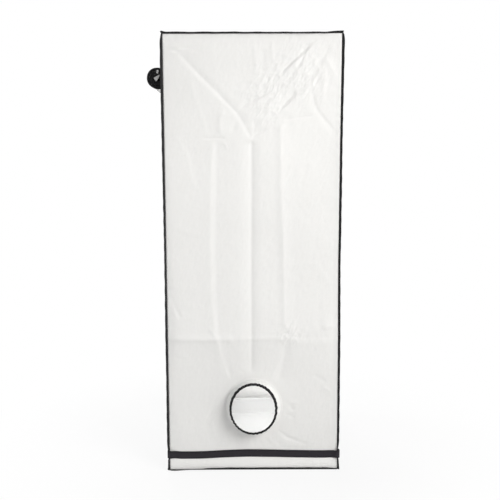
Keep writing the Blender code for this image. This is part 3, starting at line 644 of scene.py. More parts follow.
# %% Crease helpers
def crease(points, line, depth, left, right, fade=50):
    """How deep one crease dents the wall at each point. Sizes are in millimetres."""
    line = np.array(line, dtype=float) * MM
    nearest = np.full(len(points), 1e9)
    on_left = np.zeros(len(points), dtype=bool)
    walked = np.zeros(len(points))
    run = 0.0
    for start, end in zip(line, line[1:]):
        step = end - start
        length = np.hypot(*step)
        share = np.clip(((points - start) @ step) / length**2, 0, 1)
        gap = points - (start + share[:, None] * step)
        distance = np.hypot(gap[:, 0], gap[:, 1])
        turned = step[0] * gap[:, 1] - step[1] * gap[:, 0] > 0
        closer = distance < nearest
        nearest = np.where(closer, distance, nearest)
        on_left = np.where(closer, turned, on_left)
        walked = np.where(closer, run + share * length, walked)
        run += length
    reach = np.where(on_left, left, right) * MM
    dent = np.clip(1 - nearest / reach, 0, 1) ** 2
    ends = smooth(walked / (fade * MM)) * smooth((run - walked) / (fade * MM))
    return depth * MM * dent * ends


def crumples(points, seed, count, low, high, lean, spread, depth, reach, length):
    """A net of short random creases inside a rectangle, most of them leaning one way."""
    draw = np.random.default_rng(seed)
    total = np.zeros(len(points))
    for _ in range(count):
        middle = draw.uniform(low, high)
        angle = math.radians(lean + draw.normal(0, spread))
        half = draw.uniform(0.4, 1.0) * length
        run = np.array((math.cos(angle), math.sin(angle))) * half
        deep = depth * draw.uniform(0.4, 1.0) * draw.choice((-1, 1))
        sides = draw.uniform(0.5, 1.0, 2) * reach
        total += crease(points, (middle - run, middle + run), deep, *sides, fade=half * 0.7)
    return total


def rolling(points, seed, count, longest, shortest, height):
    """Broad soft swells: a sum of waves in random directions."""
    draw = np.random.default_rng(seed)
    total = np.zeros(len(points))
    for _ in range(count):
        angle, phase = draw.uniform(0, 2 * math.pi, 2)
        wave = draw.uniform(shortest, longest)
        along = points[:, 0] * math.cos(angle) + points[:, 1] * math.sin(angle)
        total += np.sin(2 * math.pi * along / wave + phase)
    return total * height / math.sqrt(count)


# %% [markdown]
# ## The creases of the photographed wall
# These follow the photograph from the largest to the smallest: the fold across the wall at a
# third of its height, the long folds that run down from the top, the fan of creases where they
# meet, and the crumpled corner at the upper right. A fold shows bright on the side that faces
# the lamp, so a line that's bright on its left and dark on its right is a valley.

# %% Folds of the intake wall
long_folds = [
    # line in millimetres, depth, reach on the left, reach on the right
    # the fold across, with its own sharp edge
    ([(-300, 483), (-120, 479), (40, 481), (190, 478), (300, 480)], -3.6, 300, 150),
    ([(-310, 481), (-240, 479), (-120, 478), (-60, 480)], -3.6, 26, 22),
    ([(-60, 481), (40, 481), (110, 480)], -1.6, 12, 12),
    ([(130, 483), (190, 481), (310, 482)], 2.8, 40, 26),
    ([(232, 520), (310, 522)], -2.8, 60, 14),
    # the valley down the middle
    ([(-5, 339), (-3, 600), (-3, 795), (-1, 980), (-2, 1180)], 1.0, 10, 9),
    ([(-5, 345), (-3, 795), (-2, 1175)], 3.9, 48, 36),
    # the step left of it
    ([(-88, 330), (-117, 440), (-136, 520), (-146, 640), (-147, 760), (-146, 950),
      (-140, 1100), (-134, 1172)], -1.3, 60, 20),
    ([(-72, 330), (-104, 400), (-115, 470), (-120, 520), (-125, 640), (-128, 760),
      (-125, 950), (-121, 1172)], 1.3, 22, 75),
    # the ridge right of it, and the valley below the fold across
    ([(124, 500), (112, 540), (110, 640), (108, 760), (104, 880), (99, 1000), (97, 1150),
      (95, 1235)], -2.3, 28, 44),
    ([(84, 318), (98, 360), (108, 400), (114, 440), (120, 486)], 2.6, 28, 36),
    # from the valley's top to the upper left
    ([(-2, 1172), (-22, 1212), (-52, 1262), (-109, 1320), (-180, 1390), (-252, 1464)], 2.3, 18, 30),
    ([(-310, 1474), (-205, 1486), (-110, 1512)], -2.2, 36, 44),
    ([(-310, 1460), (-268, 1468), (-240, 1463)], 2.4, 24, 9),
    ([(-254, 1474), (-205, 1479), (-170, 1491), (-112, 1513)], 2.6, 24, 8),
    ([(-103, 1176), (-110, 1215), (-107, 1252), (-90, 1278)], -2.3, 30, 42),
    ([(-72, 1190), (-58, 1222), (-40, 1242)], 1.3, 22, 20),
    ([(-172, 1176), (-118, 1178), (-80, 1175)], 1.5, 9, 9),
    # the wedge to the right of the valley's top
    ([(0, 1172), (12, 1188), (30, 1198), (56, 1206)], 2.4, 24, 9),
    ([(6, 1180), (8, 1215), (2, 1250)], 1.5, 14, 34),
    ([(-48, 1268), (-10, 1296), (28, 1314), (66, 1334)], 2.3, 26, 8),
    # the two long diagonals at the upper right, each with a shoulder beside it
    ([(92, 1389), (130, 1424), (160, 1450), (200, 1490), (222, 1513)], 2.9, 34, 9),
    ([(104, 1392), (140, 1424), (170, 1450), (208, 1490), (226, 1508)], -1.8, 9, 34),
    ([(126, 1372), (144, 1394), (166, 1436), (190, 1482)], 1.5, 22, 9),
    ([(88, 1268), (120, 1299), (150, 1332)], 3.4, 32, 9),
    ([(150, 1332), (205, 1384), (242, 1446), (262, 1492)], 1.3, 30, 12),
    ([(98, 1262), (130, 1292), (160, 1322), (196, 1350)], -1.2, 10, 30),
    # the right edge
    ([(97, 1234), (145, 1243), (212, 1252)], 1.6, 26, 8),
    ([(246, 1448), (272, 1400), (296, 1346)], -1.7, 26, 34),
    ([(240, 1420), (247, 1380), (241, 1330), (232, 1276)], -1.2, 16, 26),
    ([(205, 1352), (207, 1310), (216, 1280), (232, 1256), (262, 1222), (294, 1186)], 1.3, 10, 30),
    ([(232, 1384), (216, 1362), (206, 1340)], 1.7, 11, 10),
    ([(236, 1446), (222, 1430), (214, 1404)], 1.5, 10, 10),
    ([(152, 1300), (178, 1314), (204, 1338)], 1.6, 10, 10),
    ([(62, 1516), (66, 1470), (72, 1416)], -1.3, 20, 16),
    ([(34, 1480), (40, 1430), (36, 1380)], 1.2, 16, 18),
    ([(4, 1516), (10, 1440), (14, 1390)], -0.9, 14, 14),
]
short_folds = [
    ([(-292, 640), (-276, 604), (-252, 548)], 1.9, 14, 12),
    ([(-262, 1190), (-222, 1120), (-200, 1010)], -0.9, 16, 60),
    ([(-210, 1372), (-176, 1262), (-150, 1182)], -0.6, 14, 50),
    ([(-98, 1170), (-90, 1152), (-82, 1134)], -1.6, 7, 9),
    ([(-158, 524), (-142, 504), (-130, 484)], -1.7, 8, 9),
    ([(122, 505), (130, 496), (150, 480)], 2.2, 9, 9),
    ([(118, 512), (124, 496), (128, 478)], 2.0, 8, 8),
    ([(130, 500), (142, 520), (150, 556)], -1.4, 10, 14),
    ([(150, 962), (176, 924), (204, 886)], 0.6, 14, 26),
    ([(160, 1010), (178, 1040), (186, 1090)], 0.5, 22, 12),
    ([(200, 1104), (210, 1072), (206, 1040)], -0.5, 12, 24),
    ([(111, 746), (225, 748), (282, 664)], -0.7, 12, 30),
    ([(-300, 566), (-210, 590)], 0.5, 12, 26),
    ([(190, 900), (296, 938)], 0.5, 14, 28),
    ([(-296, 884), (-180, 846)], -0.5, 14, 28),
    ([(-212, 358), (-182, 368), (-154, 384)], -0.9, 12, 24),
    ([(212, 350), (238, 338), (262, 318)], 1.1, 12, 26),
    ([(244, 306), (266, 296), (292, 280)], -1.1, 12, 26),
    ([(-292, 420), (-230, 404)], 0.5, 12, 24),
    # the fan of gathers round the port
    ([(98, 262), (124, 244), (150, 218)], 3.4, 13, 16),
    ([(104, 240), (134, 250), (168, 246)], -1.5, 12, 12),
    ([(98, 214), (130, 200), (152, 190)], 1.9, 9, 10),
    ([(84, 152), (120, 120), (196, 92)], 1.8, 12, 14),
    ([(44, 138), (62, 108), (92, 82)], -1.6, 10, 11),
    ([(18, 134), (32, 108), (48, 84)], -1.8, 8, 10),
    ([(-1, 130), (2, 104), (4, 80)], 1.9, 8, 8),
    ([(-8, 130), (-16, 104), (-24, 82)], -1.7, 9, 9),
    ([(-96, 262), (-140, 226), (-168, 190)], 1.2, 14, 16),
    ([(-100, 236), (-150, 176), (-136, 118)], -1.2, 16, 16),
    ([(-66, 308), (-92, 380)], 0.8, 10, 14),
    ([(-18, 342), (-30, 356), (-52, 372)], 1.4, 8, 8),
    ([(18, 342), (30, 360), (46, 378)], 1.5, 8, 9),
    ([(52, 318), (66, 344), (74, 366)], -1.2, 9, 9),
]


crumple_nets = [
    # seed, count, lower left and upper right corner in metres, lean and its spread in degrees,
    # then depth, reach and length in millimetres
    (11, 60, (0.005, 1.245), (0.105, 1.43), 62, 32, 1.5, 10, 20),
    (14, 46, (0.08, 1.25), (0.22, 1.47), 46, 18, 1.1, 12, 32),
    (15, 20, (0.005, 1.24), (0.07, 1.31), 80, 60, 1.5, 7, 11),
    (12, 40, (-0.28, 1.16), (0.06, 1.50), 110, 50, 0.6, 15, 36),
    (13, 90, (-0.28, 0.10), (0.28, 1.20), 86, 34, 0.55, 13, 38),
]


def dent_intake(points):
    total = rolling(points, 3, 7, 0.42, 0.16, 0.5 * MM)
    for folds, fade in ((long_folds, 26), (short_folds, 14)):
        for fold in folds:
            total += crease(points, *fold, fade=fade)
    for net in crumple_nets:
        total += crumples(points, *net)
    return total


print(len(long_folds), "long folds and", len(short_folds), "short ones on the intake wall")

# %% [markdown]
# ## Folds of the other walls
# The photograph doesn't show the other walls. They came out of the same parcel, so they get the
# same kind of creases: one fold across, long folds down, and their own crumples.

# %% Folds of the other walls
folds_of_back = [
    ([(-300, 478), (-40, 482), (300, 479)], -3.6, 300, 170),
    ([(-296, 478), (-40, 482), (296, 479)], -0.9, 12, 15),
    ([(-300, 1022), (60, 1018), (300, 1024)], 1.2, 60, 14),
    ([(2, 60), (-4, 480), (3, 900), (0, 1300), (2, 1490)], 1.5, 16, 16),
    ([(-148, 120), (-156, 480), (-150, 1020), (-158, 1440)], -1.6, 20, 60),
    ([(152, 120), (147, 500), (155, 1000), (149, 1450)], 1.7, 18, 66),
    ([(-280, 1340), (-160, 1390), (-60, 1490)], -1.2, 14, 30),
    ([(60, 1080), (170, 1210), (262, 1420)], 1.2, 16, 30),
    ([(-60, 700), (-190, 610), (-288, 560)], 1.0, 16, 20),
]
folds_of_exhaust = [
    ([(-300, 481), (20, 478), (300, 482)], -3.8, 320, 170),
    ([(-296, 481), (20, 478), (296, 482)], -0.9, 12, 15),
    ([(-300, 1016), (-90, 1020)], 1.0, 40, 14),
    ([(3, 70), (-3, 480), (1, 900), (0, 1180)], 1.5, 16, 16),
    ([(-150, 110), (-146, 500), (-153, 1000), (-120, 1180)], 1.7, 18, 62),
    ([(148, 110), (155, 480), (150, 1010), (128, 1190)], -1.7, 22, 60),
    ([(96, 1320), (180, 1400), (262, 1488)], 1.3, 15, 26),
    ([(-100, 1330), (-190, 1412), (-270, 1480)], -1.2, 15, 26),
    ([(-40, 560), (-150, 640), (-286, 690)], 1.0, 16, 20),
]


def dent_by(folds, seed, lean):
    """A function that dents a wall the camera doesn't see."""

    def dent(points):
        total = rolling(points, seed, 7, 0.42, 0.16, 0.6 * MM)
        for fold in folds:
            total += 1.5 * crease(points, *fold)
        corners = (-0.28, 0.10), (0.28, 1.48)
        return total + crumples(points, seed + 20, 80, *corners, lean, 55, 0.8, 16, 42)

    return dent


print(len(folds_of_back), "folds on the back and", len(folds_of_exhaust), "on the exhaust wall")

# %% [markdown]
# ## Cutting the port
# A round hole in a square grid could be cut with a Boolean, which leaves long thin faces round
# it. Instead the squares inside the hole go, and the rings of squares round it are moved until
# they're circles. The first ring then lies exactly on the port's edge.


# %% Cut a wall with or without a port
def cut_wall(port_height=None, low=0.0, high=None, left=-half_x, right=half_x, cell=cell):
    """A flat wall in the XZ plane that faces -Y, as a bmesh of small squares."""
    high = top if high is None else high
    across, up = max(1, round((right - left) / cell)), max(1, round((high - low) / cell))
    bm = bmesh.new()
    bmesh.ops.create_grid(bm, x_segments=across, y_segments=up, size=0.5)
    bmesh.ops.scale(bm, vec=(right - left, high - low, 1), verts=bm.verts)
    bmesh.ops.rotate(bm, matrix=Matrix.Rotation(math.pi / 2, 3, "X"), verts=bm.verts)
    bmesh.ops.translate(bm, vec=((left + right) / 2, 0, (low + high) / 2), verts=bm.verts)
    if port_height is not None:
        open_port(bm, port_height, (right - left) / across, (high - low) / up)
    return bm


port_calm = 160 * MM  # squares further out than this stay square


def open_port(bm, height, width, rise):
    """Opens a port in a grid of squares of the given width and rise."""
    grid_centre = Vector((0, 0, round(height / rise) * rise))
    centre = Vector((0, 0, height))
    first, last = round(port_radius / width), round(port_calm / width)

    def ring_of(vert):
        return max(abs(vert.co.x) / width, abs(vert.co.z - grid_centre.z) / rise)

    inside = [v for v in bm.verts if ring_of(v) < first - 0.5]
    bmesh.ops.delete(bm, geom=inside, context="VERTS")
    for vert in bm.verts:
        ring = ring_of(vert)
        if ring < last:
            share = float(smooth((last - ring) / (last - first)))
            away = (vert.co - grid_centre).normalized()
            vert.co = vert.co.lerp(centre + away * (ring * port_radius / first), share)


# %% [markdown]
# ## Corner lines
# The corner seams aren't quite straight: pulled by the cloth they lean in between the corners,
# most at the right-hand seam of the photograph. The walls and the seam tapes share these lines,
# so they stay joined. Rows are height, pull along X and pull along Y, in millimetres.

# %% Corner lines
corner_pull = {
    "door_intake": [(0, 0, 0), (110, 0, 0.6), (760, 0, 1.2), (1300, 0, 0.7), (1520, 0, 0)],
    "back_intake": [
        (0, 0, 0), (110, 1.6, 0.6), (300, 1.8, 1.0), (480, 2.0, 1.2), (620, 3.6, 1.2),
        (760, 4.2, 1.4), (900, 3.6, 1.2), (1160, 2.4, 1.0), (1440, 0.5, 0.3), (1520, 0, 0),
    ],
    "back_exhaust": [(0, 0, 0), (300, 1.2, 1.0), (800, 2.2, 2.0), (1300, 1.0, 1.0), (1520, 0, 0)],
    "door_exhaust": [(0, 0, 0), (110, 0, 0.8), (700, 0, 1.6), (1300, 0, 0.8), (1520, 0, 0)],
}


def pull_at(corner, height):
    """How far a corner seam is drawn in along X and along Y, in metres."""
    rows = np.array(corner_pull[corner], dtype=float) * MM
    return np.interp(height, rows[:, 0], rows[:, 1]), np.interp(height, rows[:, 0], rows[:, 2])


# %% [markdown]
# ## Hanging a wall
# The dents fade out at the seams, which hold the cloth, and round the port, which its sleeve
# keeps flat. Inside, the tubes and mouldings limit how far the cloth can draw in, so the depth is
# held back near them. Small puckers run off every seam, where the sewing has gathered the cloth.


# %% Hang a wall
seam_inset = 0.4 * MM
wall_bow = 1.4 * MM


def room_inside(across, height):
    """How far the cloth can draw in before it meets the frame."""
    from_side = half_x - np.abs(across)
    from_end = np.minimum(height, top - height)
    rail = 0.5 * MM + 9 * MM * smooth((from_end - 27 * MM) / (45 * MM))
    post = 4.3 * MM + 9 * MM * smooth((from_side - 26 * MM) / (40 * MM))
    corner_gap = np.maximum(from_side - 27 * MM, from_end - 70 * MM)
    corner = 0.4 * MM + 9 * MM * smooth(corner_gap / (30 * MM))
    return np.minimum(np.minimum(rail, post), corner)


def puckers(across, height, seed):
    """Small ridges that run off the seams."""
    from_side = half_x - np.abs(across)
    from_end = np.minimum(height, top - height)
    draw = np.random.default_rng(seed)
    phases = draw.uniform(0, 2 * math.pi, 6)
    up = np.sin(height * 2 * math.pi / 0.034 + phases[0] + 2.2 * np.sin(height * 9 + phases[1]))
    over = np.sin(across * 2 * math.pi / 0.031 + phases[2] + 2.0 * np.sin(across * 11 + phases[3]))
    patch = 0.5 + 0.5 * np.sin(height * 14 + across * 17 + phases[4])
    near_side, near_end = (bell(away - 6 * MM, 13 * MM) for away in (from_side, from_end))
    return 0.35 * MM * patch * (up * near_side + over * near_end)


def hang(mesh, wall, dent, port_height, seed):
    """Moves a flat wall's points to where the wall hangs, on its side of the tent."""
    quarter = wall_names.index(wall)
    left, right = corner_names[quarter], corner_names[(quarter + 1) % 4]
    flat = points_of(mesh)
    across, height = flat[:, 0], flat[:, 2]
    write_pattern(mesh, across, height)
    along_axis = quarter % 2
    left_pull, right_pull = pull_at(left, height), pull_at(right, height)
    share = across / (2 * half_x) + 0.5
    sideways = left_pull[along_axis] * (1 - share) - right_pull[along_axis] * share
    drawn_in = left_pull[1 - along_axis] * (1 - share) + right_pull[1 - along_axis] * share
    from_side = half_x - np.abs(across)
    from_end = np.minimum(height, top - height)
    free = smooth((from_side + 14 * MM) / (60 * MM)) * smooth((from_end - 6 * MM) / (50 * MM))
    band_calm = smooth((height - band_high) / (55 * MM))
    free = free * (0.12 + 0.88 * band_calm)
    bow = wall_bow * (1 - (across / half_x) ** 2) * np.sin(np.pi * height / top)
    depth = dent(np.column_stack((across, height))) * free
    if port_height is not None:
        from_port = np.hypot(across, height - port_height) - port_radius
        depth = depth * smooth((from_port - 7 * MM) / (55 * MM))
        clear = smooth(from_port / (90 * MM))
        bow, drawn_in = bow * clear, drawn_in * clear
    depth = depth + bow + puckers(across, height, seed) + drawn_in
    depth = np.minimum(depth, room_inside(across, height))
    depth = np.where(height < band_high + 6 * MM, np.maximum(depth, 0.0), depth)
    inset = 1 - seam_inset / half_x
    placed = np.column_stack(
        (across * inset + sideways, depth - half_y, height * (1 - 1.6 * MM / top) + 0.8 * MM)
    )
    spin = np.array(Matrix.Rotation(quarter * math.pi / 2, 3, "Z"))
    move_points(mesh, placed @ spin.T)


fold_height = 0.480  # where the wall was folded across in its parcel
crumpled_places = {  # each place's middle, across and up, and its half width and height in metres
    "intake": [(0.055, 1.32, 0.065, 0.10), (0.15, 1.38, 0.085, 0.085), (0.13, 0.49, 0.045, 0.035)],
    "back": [(-0.16, 0.52, 0.09, 0.12), (0.10, 1.24, 0.11, 0.12)],
    "exhaust": [(-0.14, 1.42, 0.09, 0.07), (0.16, 0.60, 0.10, 0.12)],
}


def write_crumples(mesh, wall):
    """Writes for the cloth's finish how crumpled the flat wall is at each point, and where its colour is painted:
    painted shade below the fold across, and painted light below the base band."""
    across, _, height = points_of(mesh).T
    total = np.zeros(len(across))
    for middle, level, width, rise in crumpled_places.get(wall, ()):
        away = ((across - middle) / width) ** 2 + ((height - level) / rise) ** 2
        total = np.maximum(total, np.exp(-(away**1.5)))
    edge = 6 * MM  # how softly the tones change
    # Painted shade below the fold across, fainter on the walls the camera doesn't see.
    painted_shade_below_fold = smooth((fold_height - height) / edge) * smooth((height - band_low) / edge)
    painted_shade_below_fold *= 1.0 if wall == "intake" else 0.4
    # Painted light on the strip below the base band.
    painted_light_below_band = smooth((band_low + edge - height) / edge)
    for name, values in (("crumpled", total), ("painted_shade_below_fold", painted_shade_below_fold), ("painted_light_below_band", painted_light_below_band)):
        mesh.attributes.new(name, "FLOAT", "POINT").data.foreach_set("value", values)


def mesh_from(bm, name):
    mesh = bpy.data.meshes.new(name)
    bm.to_mesh(mesh)
    bm.free()
    return mesh


def gather_rows(mesh):
    """Draws a wall's rows together where it's crumpled and apart where folds run straight up."""
    flat = points_of(mesh)
    flat[:, 2] = np.interp(flat[:, 2], (0, 0.45, 0.93, top), (0, 0.45, 1.15, top))
    move_points(mesh, flat)


def make_wall(wall, dent, port_height, seed, cell=cell, gathered=False):
    name = wall + "_cloth"
    mesh = mesh_from(cut_wall(port_height, cell=cell), name)
    if gathered:
        gather_rows(mesh)
    write_crumples(mesh, wall)
    hang(mesh, wall, dent, port_height, seed)
    piece = place_piece(name, mesh, [canvas, lining], "canvas", instead_of=["wall_" + wall])
    thicken(piece, cloth_thickness, lined=True)
    print(name, len(mesh.polygons), "squares")
    return piece


# %% Three whole walls
wall_flat = (2 * half_x, top)
ported = {"area": wall_flat[0] * wall_flat[1] - math.pi * port_radius**2}
high_port = port_heights["exhaust"]
whole_walls = [
    ("intake", dent_intake, port_heights["intake"], 31, 4.4 * MM, True, ported),
    ("exhaust", dent_by(folds_of_exhaust, 6, 120), high_port, 32, cell, False, ported),
    ("back", dent_by(folds_of_back, 5, 60), None, 33, cell, False, {}),
]
for wall, *cut, area in whole_walls:
    cloth = make_wall(wall, *cut)
    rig.sheet(cloth, flat=wall_flat, held="hung", rests_on=["rail_top_" + wall], **area)

# %% [markdown]
# ## The door wall
# Round the doorway only a header, two narrow jambs and a sill are left. On the real tent they
# are separate strips sewn together, because a whole wall with a doorway cut out of it would
# waste most of its cloth. They're made the same way here. The sill's top corners are rounded,
# where the zip turns.

# %% Door wall strips
zip_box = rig.box("door_zip")
tape_lap = 14 * MM
doorway_half = zip_box[1].y - tape_lap
sill_top = zip_box[0].z + tape_lap
corner_round = 30 * MM
jamb_low = sill_top + corner_round


def dent_plain(points):
    return rolling(points, 8, 5, 0.30, 0.12, 0.25 * MM)


def round_sill(bm):
    """Raises the sill's cloth into the doorway's two rounded lower corners."""
    for vert in bm.verts:
        beside = abs(vert.co.x) - (doorway_half - corner_round)
        if beside <= 0:
            edge = sill_top
        elif beside >= corner_round:
            edge = jamb_low
        else:
            edge = sill_top + corner_round - math.sqrt(corner_round**2 - beside**2)
        vert.co.z *= edge / sill_top


jamb = {"low": jamb_low, "high": header_edge}
jamb_flat = (half_y - doorway_half, header_edge - jamb_low)
strips = {
    "door_sill_cloth": (cut_wall(high=sill_top), (2 * half_y, jamb_low)),
    "door_header_cloth": (cut_wall(low=header_edge), (2 * half_y, top - header_edge)),
    "door_jamb_intake_cloth": (cut_wall(**jamb, left=doorway_half), jamb_flat),
    "door_jamb_exhaust_cloth": (cut_wall(**jamb, right=-doorway_half), jamb_flat),
}
round_sill(strips["door_sill_cloth"][0])
for name, (bm, flat) in strips.items():
    mesh = mesh_from(bm, name)
    hang(mesh, "door", dent_plain, None, 34)
    header = ["wall_door"] if name == "door_header_cloth" else []
    piece = place_piece(name, mesh, [canvas, lining], "canvas", instead_of=header)
    thicken(piece, cloth_thickness, lined=True)
    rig.sheet(piece, flat=flat, held="hung", rests_on=["rail_top_door"])
    print(name, [round(size, 3) for size in flat])

# %% [markdown]
# ## Roof and ground
# The roof is stretched over the top rails and sags a few millimetres. The ground sheet is a
# heavier coated cloth that lies flat on the floor, inside its own binding.

# %% Roof panel and ground sheet
roof_sag = 2.4 * MM
ground_cloth = cloth_finish(
    "ground_cloth", (0.80, 0.80, 0.79), 1.4 * MM, 0.10 * MM, 1.4 * MM, 0.03, 0.48
)
roof_folds = [
    ([(-296, 2), (0, -3), (296, 1)], 0.7, 16, 16),
    ([(-148, -290), (-152, 0), (-147, 290)], -0.6, 18, 18),
    ([(150, -290), (146, 20), (152, 290)], 0.7, 18, 18),
]


def level_cloth(name, height, finishes, slot_name, node, folds, sag, crumple):
    """A square of cloth lying level, which faces up."""
    bm = bmesh.new()
    bmesh.ops.create_grid(bm, x_segments=100, y_segments=100, size=half_x - seam_inset)
    mesh = mesh_from(bm, name)
    flat = points_of(mesh)
    write_pattern(mesh, flat[:, 0], flat[:, 1])
    slack = (1 - (flat[:, 0] / half_x) ** 2) * (1 - (flat[:, 1] / half_y) ** 2)
    dent = crumples(flat[:, :2], 41, 36, (-0.27, -0.27), (0.27, 0.27), 30, 70, crumple, 16, 40)
    for fold in folds:
        dent += crease(flat[:, :2], *fold)
    flat[:, 2] = height - sag * slack - dent * smooth(slack * 2)
    move_points(mesh, flat)
    piece = place_piece(name, mesh, finishes, slot_name, instead_of=[node])
    thicken(piece, cloth_thickness, lined=len(finishes) > 1)
    return piece


roof_cloth = level_cloth(
    "roof_cloth", top, [canvas, lining], "canvas", "roof_panel", roof_folds, roof_sag, 0.4
)
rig.sheet(
    roof_cloth, flat=(2 * half_x, 2 * half_y), held="stretched",
    rests_on=["rail_top_intake", "rail_top_exhaust", "rail_top_door", "rail_top_back"],
)
ground = level_cloth(
    "ground_cloth", 0.95 * MM, [ground_cloth], "ground_cloth", "ground_sheet", [], 0, 0.0
)
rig.sheet(ground, flat=(2 * half_x, 2 * half_y), held="laid", rests_on=["floor"])
print("roof at", round(top, 4), "sagging", roof_sag)

# %% [markdown]
# ## Sweeping a section along a path
# Tapes, bands, tubes of cloth and rolled sheets all have one section carried along a path. A
# curve object with a bevel could do it, but its section can't change on the way. Here a grid is
# bent into place: its columns are the section's points and its rows the stations along the path.
# The edges that meet are merged, the open ends closed, and the UV map written in metres.


# %% Sweep helper
def skin(name, rings, closed=True, looped=False, capped=True, across=None):
    """A mesh over rings of points, which come as an array of stations x points x 3."""
    rings = np.asarray(rings, dtype=float)
    if closed:
        rings = np.concatenate((rings, rings[:, :1]), axis=1)
    if looped:
        rings = np.concatenate((rings, rings[:1]), axis=0)
    rows, columns = rings.shape[:2]
    width = np.linalg.norm(np.diff(rings, axis=1), axis=2).mean(axis=0)
    run = np.linalg.norm(np.diff(rings, axis=0), axis=2).mean(axis=1)
    width, run = np.append(0, np.cumsum(width)), np.append(0, np.cumsum(run))
    if across is not None:
        width = np.append(across, across[:1]) if closed else np.asarray(across)
    bm = bmesh.new()
    bmesh.ops.create_grid(bm, x_segments=columns - 1, y_segments=rows - 1, size=0.5)
    pattern = bm.loops.layers.uv.new("cloth")
    index = {}
    for vert in bm.verts:
        column = round((vert.co.x + 0.5) * (columns - 1))
        row = round((vert.co.y + 0.5) * (rows - 1))
        index[vert] = (row, column)
        vert.co = rings[row, column]
    for face in bm.faces:
        for loop in face.loops:
            row, column = index[loop.vert]
            loop[pattern].uv = (width[column], run[row])
    bmesh.ops.remove_doubles(bm, verts=bm.verts, dist=merge_distance)
    if closed and capped and not looped:
        bmesh.ops.holes_fill(bm, edges=[e for e in bm.edges if e.is_boundary], sides=0)
    if closed:
        bmesh.ops.recalc_face_normals(bm, faces=bm.faces)
    return mesh_from(bm, name)


def section(rows, width, mirrored=False):
    """A tape's outline from rows of how far across and half the thickness there, in
    millimetres. Mirrored rows give one edge, and the other is like it. Also gives how far
    across the tape each point is, for the stitches."""
    rows = np.array(rows, dtype=float) * MM
    if mirrored:
        rows = np.concatenate((rows, rows[::-1] * (-1, 1) + (width, 0)))
    outline = np.concatenate((rows, rows[::-1] * (1, -1)))
    return outline, np.clip(outline[:, 0], 0, width)


def rings_of(outline, line_at):
    """Rings for a skin, from a function that gives a path for each point of a section."""
    return np.array([line_at(a, t) for a, t in outline]).transpose(1, 0, 2)


# %% [markdown]
# ## Corner bindings
# Two walls meet at each corner and are bound together in one folded tape that stands out like a
# fin, 9 mm wide. It isn't a stiff strip: it leans to and fro, is a little puckered by its
# stitching, and the base band squeezes it flat. Its section is a folded tape with a groove where
# the stitches pull it in.

# %% Corner bindings
binding_width = 9.0 * MM
tape_rows = [
    (0.0, 0.5), (0.9, 0.72), (2.4, 0.78), (3.2, 0.55),
    (4.0, 0.78), (6.9, 0.74), (8.4, 0.55), (9.0, 0.28),
]
tape_outline, tape_across = section(tape_rows, binding_width)
tape_tip = np.clip(tape_outline[:, 0] / binding_width, 0, 1)  # 0 at its foot, 1 at its tip
fin_lean = {  # heights, and how far a fin's tip leans there, towards -X at the left seam
    "door_intake": [
        (0, -1), (110, 1.5), (190, 1.8), (334, 0.6), (480, 1.2), (620, 0.2), (830, -0.4),
        (1040, 0.6), (1170, 1.2), (1300, 1.6), (1435, 2.2), (1500, 1.2), (1520, -2.5),
    ],
    "back_intake": [
        (0, 0), (82, -3.5), (112, 0.3), (260, 0.8), (480, 1.0), (620, 1.2), (760, 0.4),
        (830, 1.4), (1040, 1.2), (1170, 0.6), (1300, 1.4), (1435, 2.0), (1500, 2.2), (1520, 0),
    ],
    "back_exhaust": [
        (0, 0), (200, 1.5), (500, -1.2), (800, 1.2), (1150, -1.0), (1400, 1.4), (1520, 0),
    ],
    "door_exhaust": [
        (0, 0), (240, -1.4), (520, 1.2), (860, -1.3), (1200, 1.2), (1420, -1.0), (1520, 0),
    ],
}
corner_sign = {
    corner: (-1 if "door" in corner else 1, -1 if "intake" in corner else 1)
    for corner in corner_names
}


def fin_width(height):
    """A fin's share of its full width: squeezed under the base band, full elsewhere."""
    middle, half = (band_low + band_high) / 2, (band_high - band_low) / 2
    clear = smooth((np.abs(height - middle) - half + 1 * MM) / (9 * MM))
    return 0.34 + 0.66 * clear


def make_fin(corner, seed):
    sx, sy = corner_sign[corner]
    draw = np.random.default_rng(seed)
    heights = np.arange(3.2 * MM, top + 1.5 * MM, 4.0 * MM)
    pull_x, pull_y = pull_at(corner, heights)
    rows = np.array(fin_lean[corner], dtype=float) * MM
    lean = np.interp(heights, rows[:, 0], rows[:, 1])
    weave = np.sin(heights * 2 * math.pi / 0.052 + 2.5 * np.sin(heights * 7))
    ripple = 0.55 * MM * weave + 0.5 * MM * blended_noise(draw, len(heights), 5)
    share = fin_width(heights) * (1 - 0.5 * smooth((heights - top + 9 * MM) / (13 * MM)))
    foot = smooth((18 * MM - heights) / (14 * MM))
    out = np.array((sx, sy, 0)) / math.sqrt(2)
    side = np.array((sx, -sy, 0)) / math.sqrt(2)
    root = np.column_stack((sx * (half_x - pull_x), sy * (half_y - pull_y), heights))
    rings = []
    for i in range(len(heights)):
        across, thick = tape_outline[:, 0] * share[i], tape_outline[:, 1] * (1 + 0.9 * foot[i])
        bend = (tape_tip * share[i]) ** 1.4 * (lean[i] * 1.4 + ripple[i]) * share[i]
        rings.append(root[i] + across[:, None] * out + (thick + bend)[:, None] * side)
    name = corner + "_fin"
    mesh = skin(name, rings, across=tape_across)
    return place_piece(name, mesh, [binding_tape], "binding", instead_of=["binding_" + corner])


for number, corner in enumerate(corner_names):
    fin = make_fin(corner, 50 + number)
    print(fin.name, len(fin.data.polygons), "faces")

# %% [markdown]
# ## Roof and ground bindings
# The roof's seam is bound the same way and runs all round in one piece, with a small ear at
# each corner where the tape turns. It stands up steeper at the left of the photograph than at
# the right. The ground sheet's binding lies on the floor at one corner and lifts off it along
# the photographed side.


# %% Bindings round the roof and the ground sheet
up = np.array((0, 0, 1))


